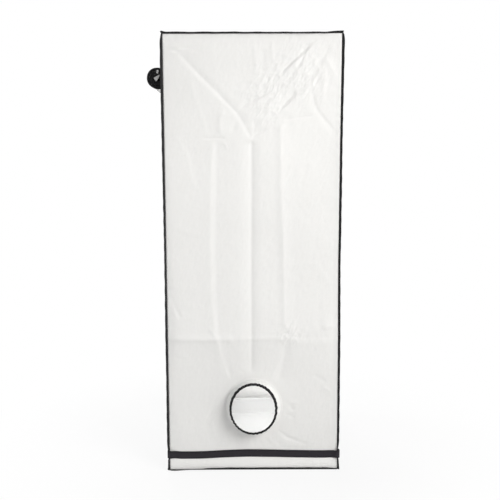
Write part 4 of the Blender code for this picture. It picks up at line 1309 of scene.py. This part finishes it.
def square_stations(step, corner_steps):
    """Stations round the box: side number, place along the side from -1 to 1, and facing."""
    found = []
    count = round(2 * half_x / step)
    quarter = math.pi / 2
    for side in range(4):
        facing = (side - 1) * quarter
        found += [(side, -1 + 2 * i / count, facing) for i in range(1, count)]
        turns = range(corner_steps + 1)
        found += [(side, 1.0, facing + quarter * i / corner_steps) for i in turns]
    return found


def level_axis(angle):
    return np.array((math.cos(angle), math.sin(angle), 0))


def side_axes(side):
    """The way out of one of the box's sides, and the way along it."""
    return level_axis((side - 1) * math.pi / 2), level_axis(side * math.pi / 2)


def edge_binding(name, node, height, rise_at, corner_rises, seed, ears, lift, fullness=1.0):
    """A fin round the whole box. rise_at gives in degrees how steeply it stands at each place
    along a side, corner_rises how steeply at the corners, ears how many millimetres its tip
    is drawn up there, and fullness how much thicker than the upright fins it is."""
    stations = square_stations(4.0 * MM, 6)
    wobbles = blended_noise(np.random.default_rng(seed), len(stations), 7)
    tip = tape_tip**1.3
    rings = []
    for (side, t, facing), wobble in zip(stations, wobbles):
        normal, tangent = side_axes(side)
        base = normal * half_x + tangent * (t * (half_y - 0.2 * MM)) + up * height
        corner = side if t > 0 else (side - 1) % 4
        from_corner = (1 - abs(t)) * half_x
        rise = math.radians(rise_at(side, t)) + 0.05 * wobble
        rise += (math.radians(corner_rises[corner]) - rise) * bell(from_corner, 24 * MM)
        level, c, s = level_axis(facing), math.cos(rise), math.sin(rise)
        wave = lift * math.sin(t * 21 + side * 2.1) + 0.35 * MM * wobble
        sideways = tape_outline[:, 1] * fullness + tip * wave
        ring = base + tape_outline[:, :1] * (level * c + up * s)
        ring += sideways[:, None] * (up * c - level * s)
        ring[:, 2] += tip * ears[corner] * MM * bell(from_corner, 7 * MM)
        rings.append(ring)
    mesh = skin(name, rings, looped=True, across=tape_across)
    return place_piece(name, mesh, [binding_tape], "binding", instead_of=[node])


def roof_rise(side, t):
    if side == 0:
        return 34 - 14 * smooth((t + 1) / 1.6) + 18 * smooth((t - 0.78) / 0.16)
    return 45 + 17 * smooth((t + 1) / 2) if side == 3 else 38


def ground_rise(side, t):
    if side == 0:
        return 2 + 62 * smooth((t + 1) / 0.7) - 8 * smooth((t - 0.6) / 0.3)
    return 22 + 14 * math.sin(3 * t + side)


edge_binding(
    "roof_binding", "binding_roof", top - 0.6 * MM, roof_rise, (50, 50, 50, 38), 61,
    (0.2, 1.0, 1.0, 2.6), 0.4 * MM,
)
edge_binding(
    "ground_binding", "binding_ground", 1.75 * MM, ground_rise, (40, 12, 12, 2), 62,
    (0.8, 1.4, 1.4, 1.4), 0.15 * MM, fullness=1.45,
)
print("bindings round the roof and the ground sheet")

# %% [markdown]
# ## Base band
# A 25 mm webbing band is sewn round the foot of the walls. It presses the corner seams flat and
# bulges round each of them. The photograph shows it a little lower at the corners than between
# them.


# %% Base band
band_slack = 2.4 * MM  # the band is a little wider than its nominal 25 mm
band_thickness = 1.4 * MM
band_bulge, bulge_radius = 6.2 * MM, 7 * MM  # round the corner seams
band_rows = [(0.0, 0.35), (0.7, 0.7), (2.6, 0.7), (3.4, 0.532), (4.4, 0.7)]


def band_droop(side, t):
    """How far the band hangs below its highest place: it sags beside each corner, more at the
    left of the photographed side, and is drawn up again over the corner's seam."""
    sag, lift = (7.0, 3.0) if side == 0 and t < 0 else (4.8, 1.6)
    return (sag * smooth(abs(t) / 0.8) - lift * smooth((abs(t) - 0.84) / 0.16) - 2.2) * MM


def make_band():
    outline, across = section(band_rows, band_high - band_low + band_slack, mirrored=True)
    face = half_x + 0.4 * MM + band_thickness / 2
    inner = face + band_bulge - bulge_radius
    rings = []
    for side, t, facing in square_stations(6.0 * MM, 8):
        normal, tangent = side_axes(side)
        out = level_axis(facing)
        if abs(t) == 1.0:
            place = (normal + tangent) * inner + out * bulge_radius
        else:
            lift = band_bulge * bell((1 - abs(t)) * half_x, 13 * MM)
            lift += 0.25 * MM * math.sin(t * 19 + side)
            place = normal * (face + lift) + tangent * t * (half_x + band_bulge - bulge_radius)
        droop = band_droop(side, t) + 0.3 * MM * math.sin(t * 7 + side * 2)
        rings.append(place + outline[:, 1:] * out + (outline[:, :1] + band_low - droop) * up)
    mesh = skin("base_webbing", rings, looped=True, across=across)
    return place_piece("base_webbing", mesh, [webbing], "webbing", instead_of=["base_band"])


base_webbing = make_band()
print(base_webbing.name, len(base_webbing.data.polygons), "faces")

# %% [markdown]
# ## Duct sleeves
# Each port has a short cloth sleeve, sewn to the wall by a flange and gathered into an elastic
# black rim. The mouth is taller than wide, as the photograph shows. The gathers start flat at
# the wall and grow towards the elastic, which is what makes cloth look pulled in.


# %% Sleeves
mouth_wide, mouth_tall, mouth_up = 83.5 * MM, 93.0 * MM, 4.0 * MM
sleeve_length, flange_out = 38 * MM, 1.8 * MM
rim_width = 9.4 * MM
rim_rows = [
    (0.2, 0.6525), (1.2, 1.3775), (3.6, 1.45), (4.4, 1.131), (5.2, 1.45), (8.2, 1.305),
    (9.4, 0.58),
]


def sleeve_profile():
    """The sleeve from its flange to its mouth: radius across, radius up, how far its middle is
    raised, how far out it is and how deep its gathers are."""
    profile = []
    for wider, out in ((7.5, 0.65), (5.0, 0.62), (2.5, 0.6), (0.9, 0.9), (0.2, 1.8)):
        profile.append((port_radius + wider * MM, port_radius + wider * MM, 0, out * MM, 0))
    for t in np.linspace(0, 1, 15)[1:]:
        fuller = port_radius * (1 - t) + 2.4 * MM * math.sin(math.pi * t)
        out = flange_out + (sleeve_length - flange_out) * t
        wide, tall = fuller + mouth_wide * t, fuller + mouth_tall * t
        profile.append((wide, tall, mouth_up * t, out, 1.5 * MM * t**1.5))
    return profile


def make_sleeve(side, seed):
    """Rings of a sleeve's cloth, and of the elastic rim at its mouth."""
    draw = np.random.default_rng(seed)
    first, second, third = (draw.uniform(0, 6) for _ in range(3))
    turns = np.linspace(0, 2 * math.pi, 240, endpoint=False)
    wave = turns * 34 + 1.6 * np.sin(turns * 3 + first) + 1.1 * np.sin(turns * 7 + second)
    flutes = np.sin(wave) * (0.65 + 0.35 * np.sin(turns * 5 + third))
    sideways, upward = np.cos(turns), np.sin(turns)
    squash = 1 - 0.018 * bell(turns - math.radians(128), 0.55)
    height = port_heights[side]
    cloth = []
    for wide, tall, raised, out, depth in sleeve_profile():
        x = (wide + depth * flutes) * sideways * squash
        z = (tall + depth * flutes) * upward * squash + raised + height
        cloth.append(np.column_stack((x, np.full_like(x, -half_y - out), z)))
    lean = np.radians(30 + 17.5 * upward)
    drop = 1.3 * MM * smooth(-upward)
    fullness = 1 + 0.16 * np.sin(turns + math.radians(20)) + 0.05 * np.sin(turns * 3)

    def rim_line(a, t):
        inward = a * fullness * np.cos(lean) - t * np.sin(lean) - drop
        outward = a * np.sin(lean) + t * np.cos(lean)
        ruffle = flutes * 0.9 * MM * (1 - 0.35 * a / rim_width)
        x = (mouth_wide + 0.5 * MM - inward + ruffle) * sideways
        z = (mouth_tall - 0.4 * MM - inward + ruffle) * upward + mouth_up + height
        return np.column_stack((x, -half_y - sleeve_length - outward - 0.2 * MM, z))

    outline, rim_across = section(rim_rows, rim_width)
    facing = (-1, -1, 1) if side == "exhaust" else (1, 1, 1)
    return np.array(cloth) * facing, rings_of(outline, rim_line) * facing, rim_across


sleeve_flat = (2 * math.pi * port_radius, 44 * MM)
for number, side in enumerate(("intake", "exhaust")):
    rings, rim, rim_across = make_sleeve(side, 70 + number)
    mesh = skin(side + "_sleeve_cloth", rings, capped=False)
    sleeve = place_piece(
        mesh.name, mesh, [canvas, lining], "canvas", instead_of=["sleeve_" + side]
    )
    thicken(sleeve, cloth_thickness, lined=True)
    mesh = skin(side + "_sleeve_rim", rim, looped=True, across=rim_across)
    elastic = place_piece(
        mesh.name, mesh, [binding_tape], "binding", instead_of=[f"sleeve_{side}_rim"]
    )
    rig.sheet(
        sleeve, flat=sleeve_flat, held="gathered", rests_on=[side + "_cloth"], with_pieces=[elastic]
    )
    print(sleeve.name, len(mesh.polygons), "faces")

# %% [markdown]
# ## The rolled door
# The door is unzipped and rolled up under the header, black edge tapes and all, in ten turns.
# From its end it shows a black disc of tape edges round a hollow core, where the white cloth
# inside catches the light. It is one unbroken sheet: a spiral that starts at its seam under the
# header. The inner turns are looser, and the core has been squeezed to three soft corners.

# %% The spiral
roll_centre = np.array((-half_x - 11 * MM, header_edge - 62 * MM))
roll_radius = 36.4 * MM
roll_pitch = 2.6 * MM
door_length = 1.34
door_thickness = 1.35 * MM
seam_point = np.array((-half_x + 0.5 * MM, header_edge + 0.6 * MM))


def tangent_turn(point, radius):
    """The angle where a line from a point meets the roll, on its side away from the door."""
    away = np.asarray(point) - roll_centre
    return math.atan2(away[1], away[0]) - math.acos(radius / np.hypot(*away))


def roll_reach(turn, angle):
    """The spiral's radius: even outside, looser inside, with three soft corners at the core."""
    loose = smooth((turn - 3.0) / 0.8)
    reach = roll_radius - roll_pitch * turn - 3.0 * MM * loose
    oval = 0.35 * MM * np.cos(2 * angle + 0.6) + 0.25 * MM * np.cos(5 * angle + 1.0)
    corners = np.clip((turn - 5.5) / 4.5, 0, 1) * 1.9 * MM * np.cos(3 * (angle - math.radians(80)))
    uneven = 0.22 * MM * np.sin(angle * 3 + turn * 1.7) * smooth(turn)
    return reach + oval + corners + uneven


def door_path():
    start = tangent_turn(seam_point, roll_radius)
    turns = np.arange(0, 12, 1 / 64)
    angle = start - 2 * math.pi * turns
    reach = roll_reach(turns, angle)
    loose = smooth((turns - 3.0) / 0.8)
    shift = 2.6 * MM * loose
    x = roll_centre[0] + shift * math.cos(math.radians(235)) + reach * np.cos(angle)
    z = roll_centre[1] + shift * math.sin(math.radians(235)) + reach * np.sin(angle)
    spiral = np.column_stack((x, z))
    lead = np.linspace(seam_point, spiral[0], 9)[:-1]
    path = np.concatenate((lead, spiral))
    run = np.append(0, np.cumsum(np.linalg.norm(np.diff(path, axis=0), axis=1)))
    return path[run <= door_length], run[run <= door_length]


def sides_of(path):
    """Unit vectors square to a path in a plane, on its left."""
    step = np.gradient(path, axis=0)
    step /= np.linalg.norm(step, axis=1)[:, None]
    return np.column_stack((-step[:, 1], step[:, 0]))


door_line, door_run = door_path()
door_side = sides_of(door_line)
print(f"door: {door_run[-1]:.3f} m in {len(door_line) / 64:.1f} turns")

# %% [markdown]
# ## Cloth and tapes of the roll
# The roll isn't a perfect cylinder: its two ties squeeze it and it swells between them. Beyond
# the ties its free ends have sprung a little outwards and up. The swelling is one number along
# its length, used for the cloth, the tapes and the ties alike, so that they keep touching.

# %% Roll the door
tape_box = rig.box("door_roll_tape_exhaust")
tie_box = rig.box("door_tie_exhaust")
tie_middle = (tie_box[0].y + tie_box[1].y) / 2
tie_half = (tie_box[1].y - tie_box[0].y) / 2
end_drift = np.array((-14.5 * MM, 5.5 * MM))  # outwards and up
edge_rows = [
    (-1.0, 0.80), (2.0, 0.85), (2.6, 0.68), (3.4, 0.85), (8.6, 0.80), (9.6, 1.0), (11.2, 1.02),
    (12.0, 0.6),
]


def swell(y):
    """The roll's size at a place along it: 1 at the ties, a little more elsewhere."""
    from_tie = np.abs(np.abs(y) - tie_middle)
    return 0.985 + 0.022 * smooth((from_tie - tie_half * 0.8) / (45 * MM))


def roll_drift(y):
    """How far the roll's free ends have sprung out of line, beyond the ties that hold it."""
    return end_drift * smooth((np.abs(y) - tie_middle - tie_half * 0.5) / (66 * MM))


def swollen(points, y, run):
    """Swells a path's points about the roll's centre, once they are past the seam."""
    share = smooth(run / 0.05)[:, None]
    grown = roll_centre + (points - roll_centre) * swell(y) + roll_drift(y)
    return points * (1 - share) + grown * share


def placed_at(line, y):
    """A path of places outwards and up, set at one place along the roll."""
    return np.column_stack((line[:, 0], np.broadcast_to(y, len(line)), line[:, 1]))


def roll_door():
    width = 2 * tape_box[0].y
    lines = []
    for y in np.linspace(-width / 2, width / 2, 47):
        wave = 0.5 * MM * np.sin(y * 2 * math.pi / 0.155 + 1.0) * smooth(door_run / 0.08)
        line = swollen(door_line, y, door_run) + wave[:, None] * np.array((0.3, -1.0))
        lines.append(placed_at(line, y))
    mesh = skin("door_cloth", np.array(lines).transpose(1, 0, 2), closed=False)
    piece = place_piece("door_cloth", mesh, [canvas, lining], "canvas", instead_of=["door_roll"])
    thicken(piece, door_thickness, offset=0.0, lined=True)
    return piece, width


def roll_tape(side, sy):
    """A black tape folded round the door's edge, with the door's half of the zip at its rim."""
    inner, outer = tape_box[0].y, tape_box[1].y
    outline, across = section(edge_rows, outer - inner)

    def line_at(a, t):
        line = swollen(door_line, inner + a, door_run) + door_side * t
        return placed_at(line, sy * (inner + a))

    name = f"door_{side}_edge_tape"
    mesh = skin(name, rings_of(outline, line_at), across=across)
    return place_piece(name, mesh, [zip_tape], "zip_tape", instead_of=["door_roll_tape_" + side])


door_cloth, door_width = roll_door()
edge_tapes = [roll_tape("intake", -1), roll_tape("exhaust", 1)]
for piece in [door_cloth] + edge_tapes:
    print(piece.name, len(piece.data.polygons), "faces")

# %% [markdown]
# ## The door's turned-out corner
# The door's lower corner has worked its way out of the roll's core and lies over its end: a
# white wedge on the black tapes, and a smaller bit that peeks out above it. Each is a patch of
# four corners, cut into a grid so that it can curl.


# %% Turned-out corner
def turned_out(name, corners, curl):
    """A patch of cloth on the roll's end. Corners are across and up from the roll's middle, with
    how far each stands off the roll's end, in millimetres."""
    bm = bmesh.new()
    middle = roll_centre + end_drift
    points = [
        bm.verts.new((middle[0] + x * MM, -tape_box[1].y - off * MM, middle[1] + z * MM))
        for x, z, off in corners
    ]
    bm.faces.new(points)
    bmesh.ops.subdivide_edges(bm, edges=bm.edges, cuts=7, use_grid_fill=True)
    centre = sum((v.co for v in bm.verts), Vector()) / len(bm.verts)
    reach = max((v.co - centre).length for v in bm.verts)
    for v in bm.verts:
        v.co.y += curl * MM * ((v.co - centre).length / reach) ** 2
    bmesh.ops.recalc_face_normals(bm, faces=bm.faces)
    piece = place_piece(name, mesh_from(bm, name), [canvas, lining], "canvas")
    thicken(piece, cloth_thickness, offset=0.0, lined=True)
    return piece


wedge_corners = [(-12.5, 0.5, 1.6), (-4.5, -11.5, 2.2), (7.5, 5, 0.4), (9, 13, 0.0)]
bit_corners = [(-3, 17, 0.6), (1.5, 14.5, 0.2), (6, 26, 0.0), (-2, 28, 0.8)]
turned_corners = [
    turned_out("door_corner_wedge", wedge_corners, 1.0),
    turned_out("door_corner_bit", bit_corners, 0.5),
]
print("turned-out corner:", [piece.name for piece in turned_corners])

# %% [markdown]
# ## Ties
# Two webbing ties hold the roll. Each is sewn to the header's outside, goes round the roll, and
# is sewn again inside. A barrel toggle on the outer run keeps the loop short; the frame's own
# toggle is used as it is.


# %% Ties
tie_rows = [(0.0, 0.2), (0.6, 0.55), (2.0, 0.6), (2.7, 0.48), (3.5, 0.6)]


def tie_line():
    thickness = 1.2 * MM
    radius = (roll_radius + door_thickness / 2) * swell(tie_middle) + thickness / 2 + 0.35 * MM
    outside = np.array((-half_x - 0.3 * MM - thickness / 2, header_edge))
    inside = np.array((-half_x + 1.3 * MM + thickness / 2, header_edge))
    away = outside - roll_centre
    first = math.atan2(away[1], away[0]) + math.acos(radius / np.hypot(*away))
    last = tangent_turn(inside, radius) + 2 * math.pi
    turns = np.linspace(first, last, 72)
    loop = roll_centre + radius * np.column_stack((np.cos(turns), np.sin(turns)))
    lap = np.array((0, 20 * MM))
    lead_in = np.linspace(outside + lap, outside, 6)[:-1]
    fall = np.linspace(outside, loop[0], 6)[:-1]
    rise = np.linspace(loop[-1], inside, 6)[1:]
    lead_out = np.linspace(inside, inside + lap, 6)[1:]
    return np.concatenate((lead_in, fall, loop, rise, lead_out))


def make_tie(side, sy):
    path = tie_line()
    normals = sides_of(path)
    outline, across = section(tie_rows, 2 * tie_half, mirrored=True)
    sway = 0.7 * MM * np.sin(np.linspace(0, 9, len(path)) + sy)
    start = sy * tie_middle - tie_half
    rings = rings_of(outline, lambda a, t: placed_at(path + normals * t, start + a + sway))
    name = f"tie_{side}_webbing"
    mesh = skin(name, rings, across=across)
    return place_piece(name, mesh, [tie_webbing], "webbing", instead_of=["door_tie_" + side])


ties = [make_tie("intake", -1), make_tie("exhaust", 1)]
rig.sheet(
    door_cloth, flat=(door_width, door_length), held="folded", rests_on=ties,
    with_pieces=edge_tapes + turned_corners,
)
print("two ties")

# %% [markdown]
# ## The zip
# The wall's half of the zip runs down both sides of the doorway and across its foot. Its tape is
# sewn flat on the wall, and its coil is one long row of small teeth. Each tooth is a bevelled
# block with a few dozen faces, because there are over a thousand of them. The sliders ride on
# the coil, so the row stays straight beside the doorway.


# %% Zip tape
zip_plane = (zip_box[0].x + zip_box[1].x) / 2
bead_line = 7 * MM
zip_rows = [
    (0.0, 0.15), (0.5, 0.4), (2.4, 0.45), (3.0, 0.36), (3.6, 0.45), (12.6, 0.45), (16.6, 0.5),
    (20.0, 0.3),
]


def doorway_line(step):
    """Stations round the doorway's edge: place in the wall's plane, and the way inwards."""
    radius, side, foot = corner_round, doorway_half, sill_top
    places = [(-side, z) for z in np.arange(header_edge - 0.5 * MM, foot + radius, -step)]
    inward = [(1, 0)] * len(places)
    for angle in np.linspace(math.pi, 1.5 * math.pi, 14):
        c, s = math.cos(angle), math.sin(angle)
        places.append((-side + radius + radius * c, foot + radius + radius * s))
        inward.append((-c, -s))
    for y in np.arange(-side + radius + step, 0, step):
        places.append((y, foot))
        inward.append((0, 1))
    halves = (np.array(places), np.array(inward))
    return [np.concatenate((half, half[::-1] * (-1, 1))) for half in halves]


def make_zip_tape():
    places, inward = doorway_line(6 * MM)
    outline, across = section(zip_rows, tape_lap + bead_line - 1 * MM)

    def line_at(a, t):
        flat = places + inward * (a - tape_lap)
        return np.column_stack((np.full(len(flat), zip_plane - t), flat))

    mesh = skin("zip_ribbon", rings_of(outline, line_at), across=across)
    return place_piece("zip_ribbon", mesh, [zip_tape], "zip_tape", instead_of=["door_zip"])


zip_ribbon = make_zip_tape()
print(zip_ribbon.name, len(zip_ribbon.data.polygons), "faces")


# %% Zip teeth
def make_tooth():
    """One tooth at the origin: Z along the tape, Y across it and X out of it."""
    bm = bmesh.new()
    bmesh.ops.create_cube(bm, size=1)
    bmesh.ops.scale(bm, vec=(2.5 * MM, 3.1 * MM, 1.5 * MM), verts=bm.verts)
    bmesh.ops.bevel(
        bm, geom=bm.edges, offset=0.4 * MM, offset_type="OFFSET", segments=1, profile=0.5,
        affect="EDGES", material=-1,
    )
    return mesh_from(bm, "tooth")


def make_teeth(pitch):
    places, inward = doorway_line(0.5 * MM)
    line = places + inward * bead_line
    run = np.append(0, np.cumsum(np.linalg.norm(np.diff(line, axis=0), axis=1)))
    stations = np.column_stack((line, inward))
    count = int(run[-1] / pitch) + 1
    tooth, out = make_tooth(), Vector((-1, 0, 0))
    bm = bmesh.new()
    for i in range(count):
        at = (i + 0.5) * run[-1] / count
        y, z, in_y, in_z = (np.interp(at, run, column) for column in stations.T)
        across = Vector((0, in_y, in_z)).normalized()
        turn = Matrix((out, across, out.cross(across))).transposed().to_4x4()
        place = Matrix.Translation((zip_plane, y, z)) @ turn
        tooth.transform(place)
        bm.from_mesh(tooth)
        tooth.transform(place.inverted())
    bpy.data.meshes.remove(tooth)
    bmesh.ops.recalc_face_normals(bm, faces=bm.faces)
    return mesh_from(bm, "zip_coil"), count


nylon = hard_finish(
    "nylon", (0.016, 0.016, 0.018), (0.07, 0.07, 0.072), 0.32, 1500, 0.02 * MM, 0.2 * MM, 0.5
)
coil_mesh, teeth = make_teeth(2.5 * MM)
zip_coil = place_piece("zip_coil", coil_mesh, [nylon], "zip_tape")
print(zip_coil.name, teeth, "teeth")

# %% [markdown]
# ## Frame tubes
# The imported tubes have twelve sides, which is plenty for physics and coarse for the eye. Each is
# turned again with 32 sides from the same box, hollow, with softened ends. The lower posts end
# in a narrowed swage on which the upper posts stand.


# %% Turn the tubes
tube_sides = 32
tube_wall = 0.8 * MM
swage_length = 60 * MM
sharp_angle = math.radians(40)


def turned(profile):
    """A closed ring profile of radius and height, spun about Z."""
    bm = bmesh.new()
    points = [bm.verts.new((r, 0, z)) for r, z in profile]
    edges = [bm.edges.new(pair) for pair in zip(points, points[1:] + points[:1])]
    bmesh.ops.spin(
        bm, geom=points + edges, cent=(0, 0, 0), axis=(0, 0, 1), angle=2 * math.pi,
        steps=tube_sides, use_merge=True,
    )
    bmesh.ops.remove_doubles(bm, verts=bm.verts, dist=merge_distance)
    bmesh.ops.recalc_face_normals(bm, faces=bm.faces)
    return bm


def tube_profile(radius, length, swage):
    """A tube's wall in section, from its foot up the outside and down the inside."""
    soft, bore = 0.3 * MM, radius - tube_wall
    low = [(bore, soft), (bore + soft, 0), (radius - soft, 0), (radius, soft)]
    if not swage:
        return low + [
            (radius, length - soft), (radius - soft, length), (bore + soft, length),
            (bore, length - soft),
        ]
    neck = bore - 0.4 * MM
    shoulder = length - swage_length
    return low + [
        (radius, shoulder - 5 * MM), (neck, shoulder), (neck, length - soft),
        (neck - soft, length), (neck - tube_wall, length), (neck - tube_wall, shoulder - 3 * MM),
        (bore, shoulder - 8 * MM),
    ]


def make_tube(node):
    low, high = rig.box(node)
    size = high - low
    axis = max(range(3), key=lambda i: size[i])
    radius = min(size) / 2
    bm = turned(tube_profile(radius, size[axis], node.startswith("post_lower")))
    if axis == 0:
        bmesh.ops.rotate(bm, matrix=Matrix.Rotation(math.pi / 2, 3, "Y"), verts=bm.verts)
    elif axis == 1:
        bmesh.ops.rotate(bm, matrix=Matrix.Rotation(-math.pi / 2, 3, "X"), verts=bm.verts)
    start = (low + high) / 2
    start[axis] = low[axis]
    bmesh.ops.translate(bm, vec=start, verts=bm.verts)
    mesh = mesh_from(bm, node + "_tube")
    body = "tent"
    if node.startswith("hanger_bar"):
        body = "hanger_" + node.split("_")[-1]
    piece = place_piece(mesh.name, mesh, [powder_coat], "tube", body, [node])
    mesh.set_sharp_from_angle(angle=sharp_angle)
    return piece


tubes = [make_tube(n) for n in nodes if n.startswith(("post_", "rail_", "hanger_bar"))]
print(len(tubes), "tubes")

# %% [markdown]
# ## Floor tray
# The tray is a shallow basin of coated woven sheet, folded up at its sides, that catches spilt
# water. It lifts out. Its section goes round both faces, so the sheet has its real thickness
# and a rolled hem. The sides wave a little, as an unsupported sheet does.

# %% Tray
tray_sheet = cloth_finish(
    "tray_sheet", (0.76, 0.76, 0.755), 2.2 * MM, 0.10 * MM, 0.9 * MM, 0.02, 0.36
)
tray_low, tray_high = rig.box("floor_tray")


tray_thickness = 1.5 * MM
tray_wave = 0.9 * MM
corner_radius, outer_radius = 18 * MM, 19.5 * MM
hem_rows = [  # millimetres out from the inner side, corner radius and height above the rim
    (-0.4, 18, -8.5), (-1.1, 18, -7), (-1.2, 18, -1.6), (-0.6, 18, -0.4),
    (0.8, 19, 0), (2.2, 20, -0.5), (2.4, 20, -2), (2.3, 20, -7),
]


def tray_ring(half, radius, height, wave):
    """Points round a rounded square, with the waves of its sides and folds at its corners."""
    straight = half - radius
    quarter = []
    for t in (np.arange(24) + 0.5) / 12 - 1:
        quarter.append((half, t * straight, 0.0, t))
    for angle in (np.arange(10) + 0.5) / 10 * math.pi / 2:
        c, s = math.cos(angle), math.sin(angle)
        quarter.append((straight + radius * c, straight + radius * s, angle, 1.0))
    ring = []
    for side in range(4):
        turn = side * math.pi / 2
        c, s = math.cos(turn), math.sin(turn)
        for x, y, angle, t in quarter:
            ripple = wave * (math.sin(t * 7 + turn * 2.3) + 0.5 * math.sin(t * 17 + turn))
            fold = -1.4 * wave * abs(math.sin(2 * angle)) * (1 + math.cos(angle * 12)) / 2
            grown = ripple * (1 - abs(t) ** 6) + fold
            x, y = x + math.cos(angle) * grown, y + math.sin(angle) * grown
            ring.append((x * c - y * s, x * s + y * c, height))
    return ring


def tray_rows():
    """Half size, corner radius, height and wave of each ring: from the middle of the tray's
    floor up the inside, over the hem, and down the outside to the middle again."""
    outer, low, rim = tray_high.x - 0.9 * MM, tray_low.z + 0.05 * MM, tray_high.z
    inner, floor = outer - tray_thickness, low + tray_thickness

    def floor_rows(half, height, shares):
        return [(half * s, max(2 * MM, corner_radius * s), height, 0.0) for s in shares]

    def side_rows(half, radius, shares):
        return [(half, radius, floor + (rim - floor) * s, tray_wave * s) for s in shares]

    rows = floor_rows(inner, floor, (0.02, 0.25, 0.5, 0.75, 0.9, 0.975))
    rows.append((inner - 1.2 * MM, 17 * MM, floor + 0.5 * MM, 0.0))
    rows.append((inner, corner_radius, floor + 3 * MM, 0.1 * MM))
    rows += side_rows(inner, corner_radius, (0.2, 0.4, 0.6, 0.8))
    for out, radius, height in hem_rows:
        rows.append((inner + out * MM, radius * MM, rim + height * MM, tray_wave))
    rows += side_rows(outer, outer_radius, (0.8, 0.6, 0.4, 0.2))
    rows.append((outer, outer_radius, low + 3 * MM, 0.1 * MM))
    rows.append((outer - 2 * MM, corner_radius, low, 0.0))
    return rows + floor_rows(outer, low, (0.9, 0.5, 0.02))


def make_tray():
    mesh = skin("tray_basin", [tray_ring(*row) for row in tray_rows()])
    return place_piece("tray_basin", mesh, [tray_sheet], "tray_sheet", "tray", ["floor_tray"])


tray = make_tray()
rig.sheet(tray, flat=(0.68, 0.68), held="folded", rests_on=[ground])
print(tray.name, len(tray.data.polygons), "faces")

# %% [markdown]
# ## What the scene measures
# The dressed tent has to stay the size of the imported model. Both boxes are written down and printed, so that they
# can be compared.

# %% Write down both boxes and finish
visual_box = [list(corner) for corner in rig.bounds()]
with open("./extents.json", "w") as size_file:
    json.dump({"cad": cad_box, "visual": visual_box}, size_file)
print("CAD box", cad_box)
print("visual box", visual_box)
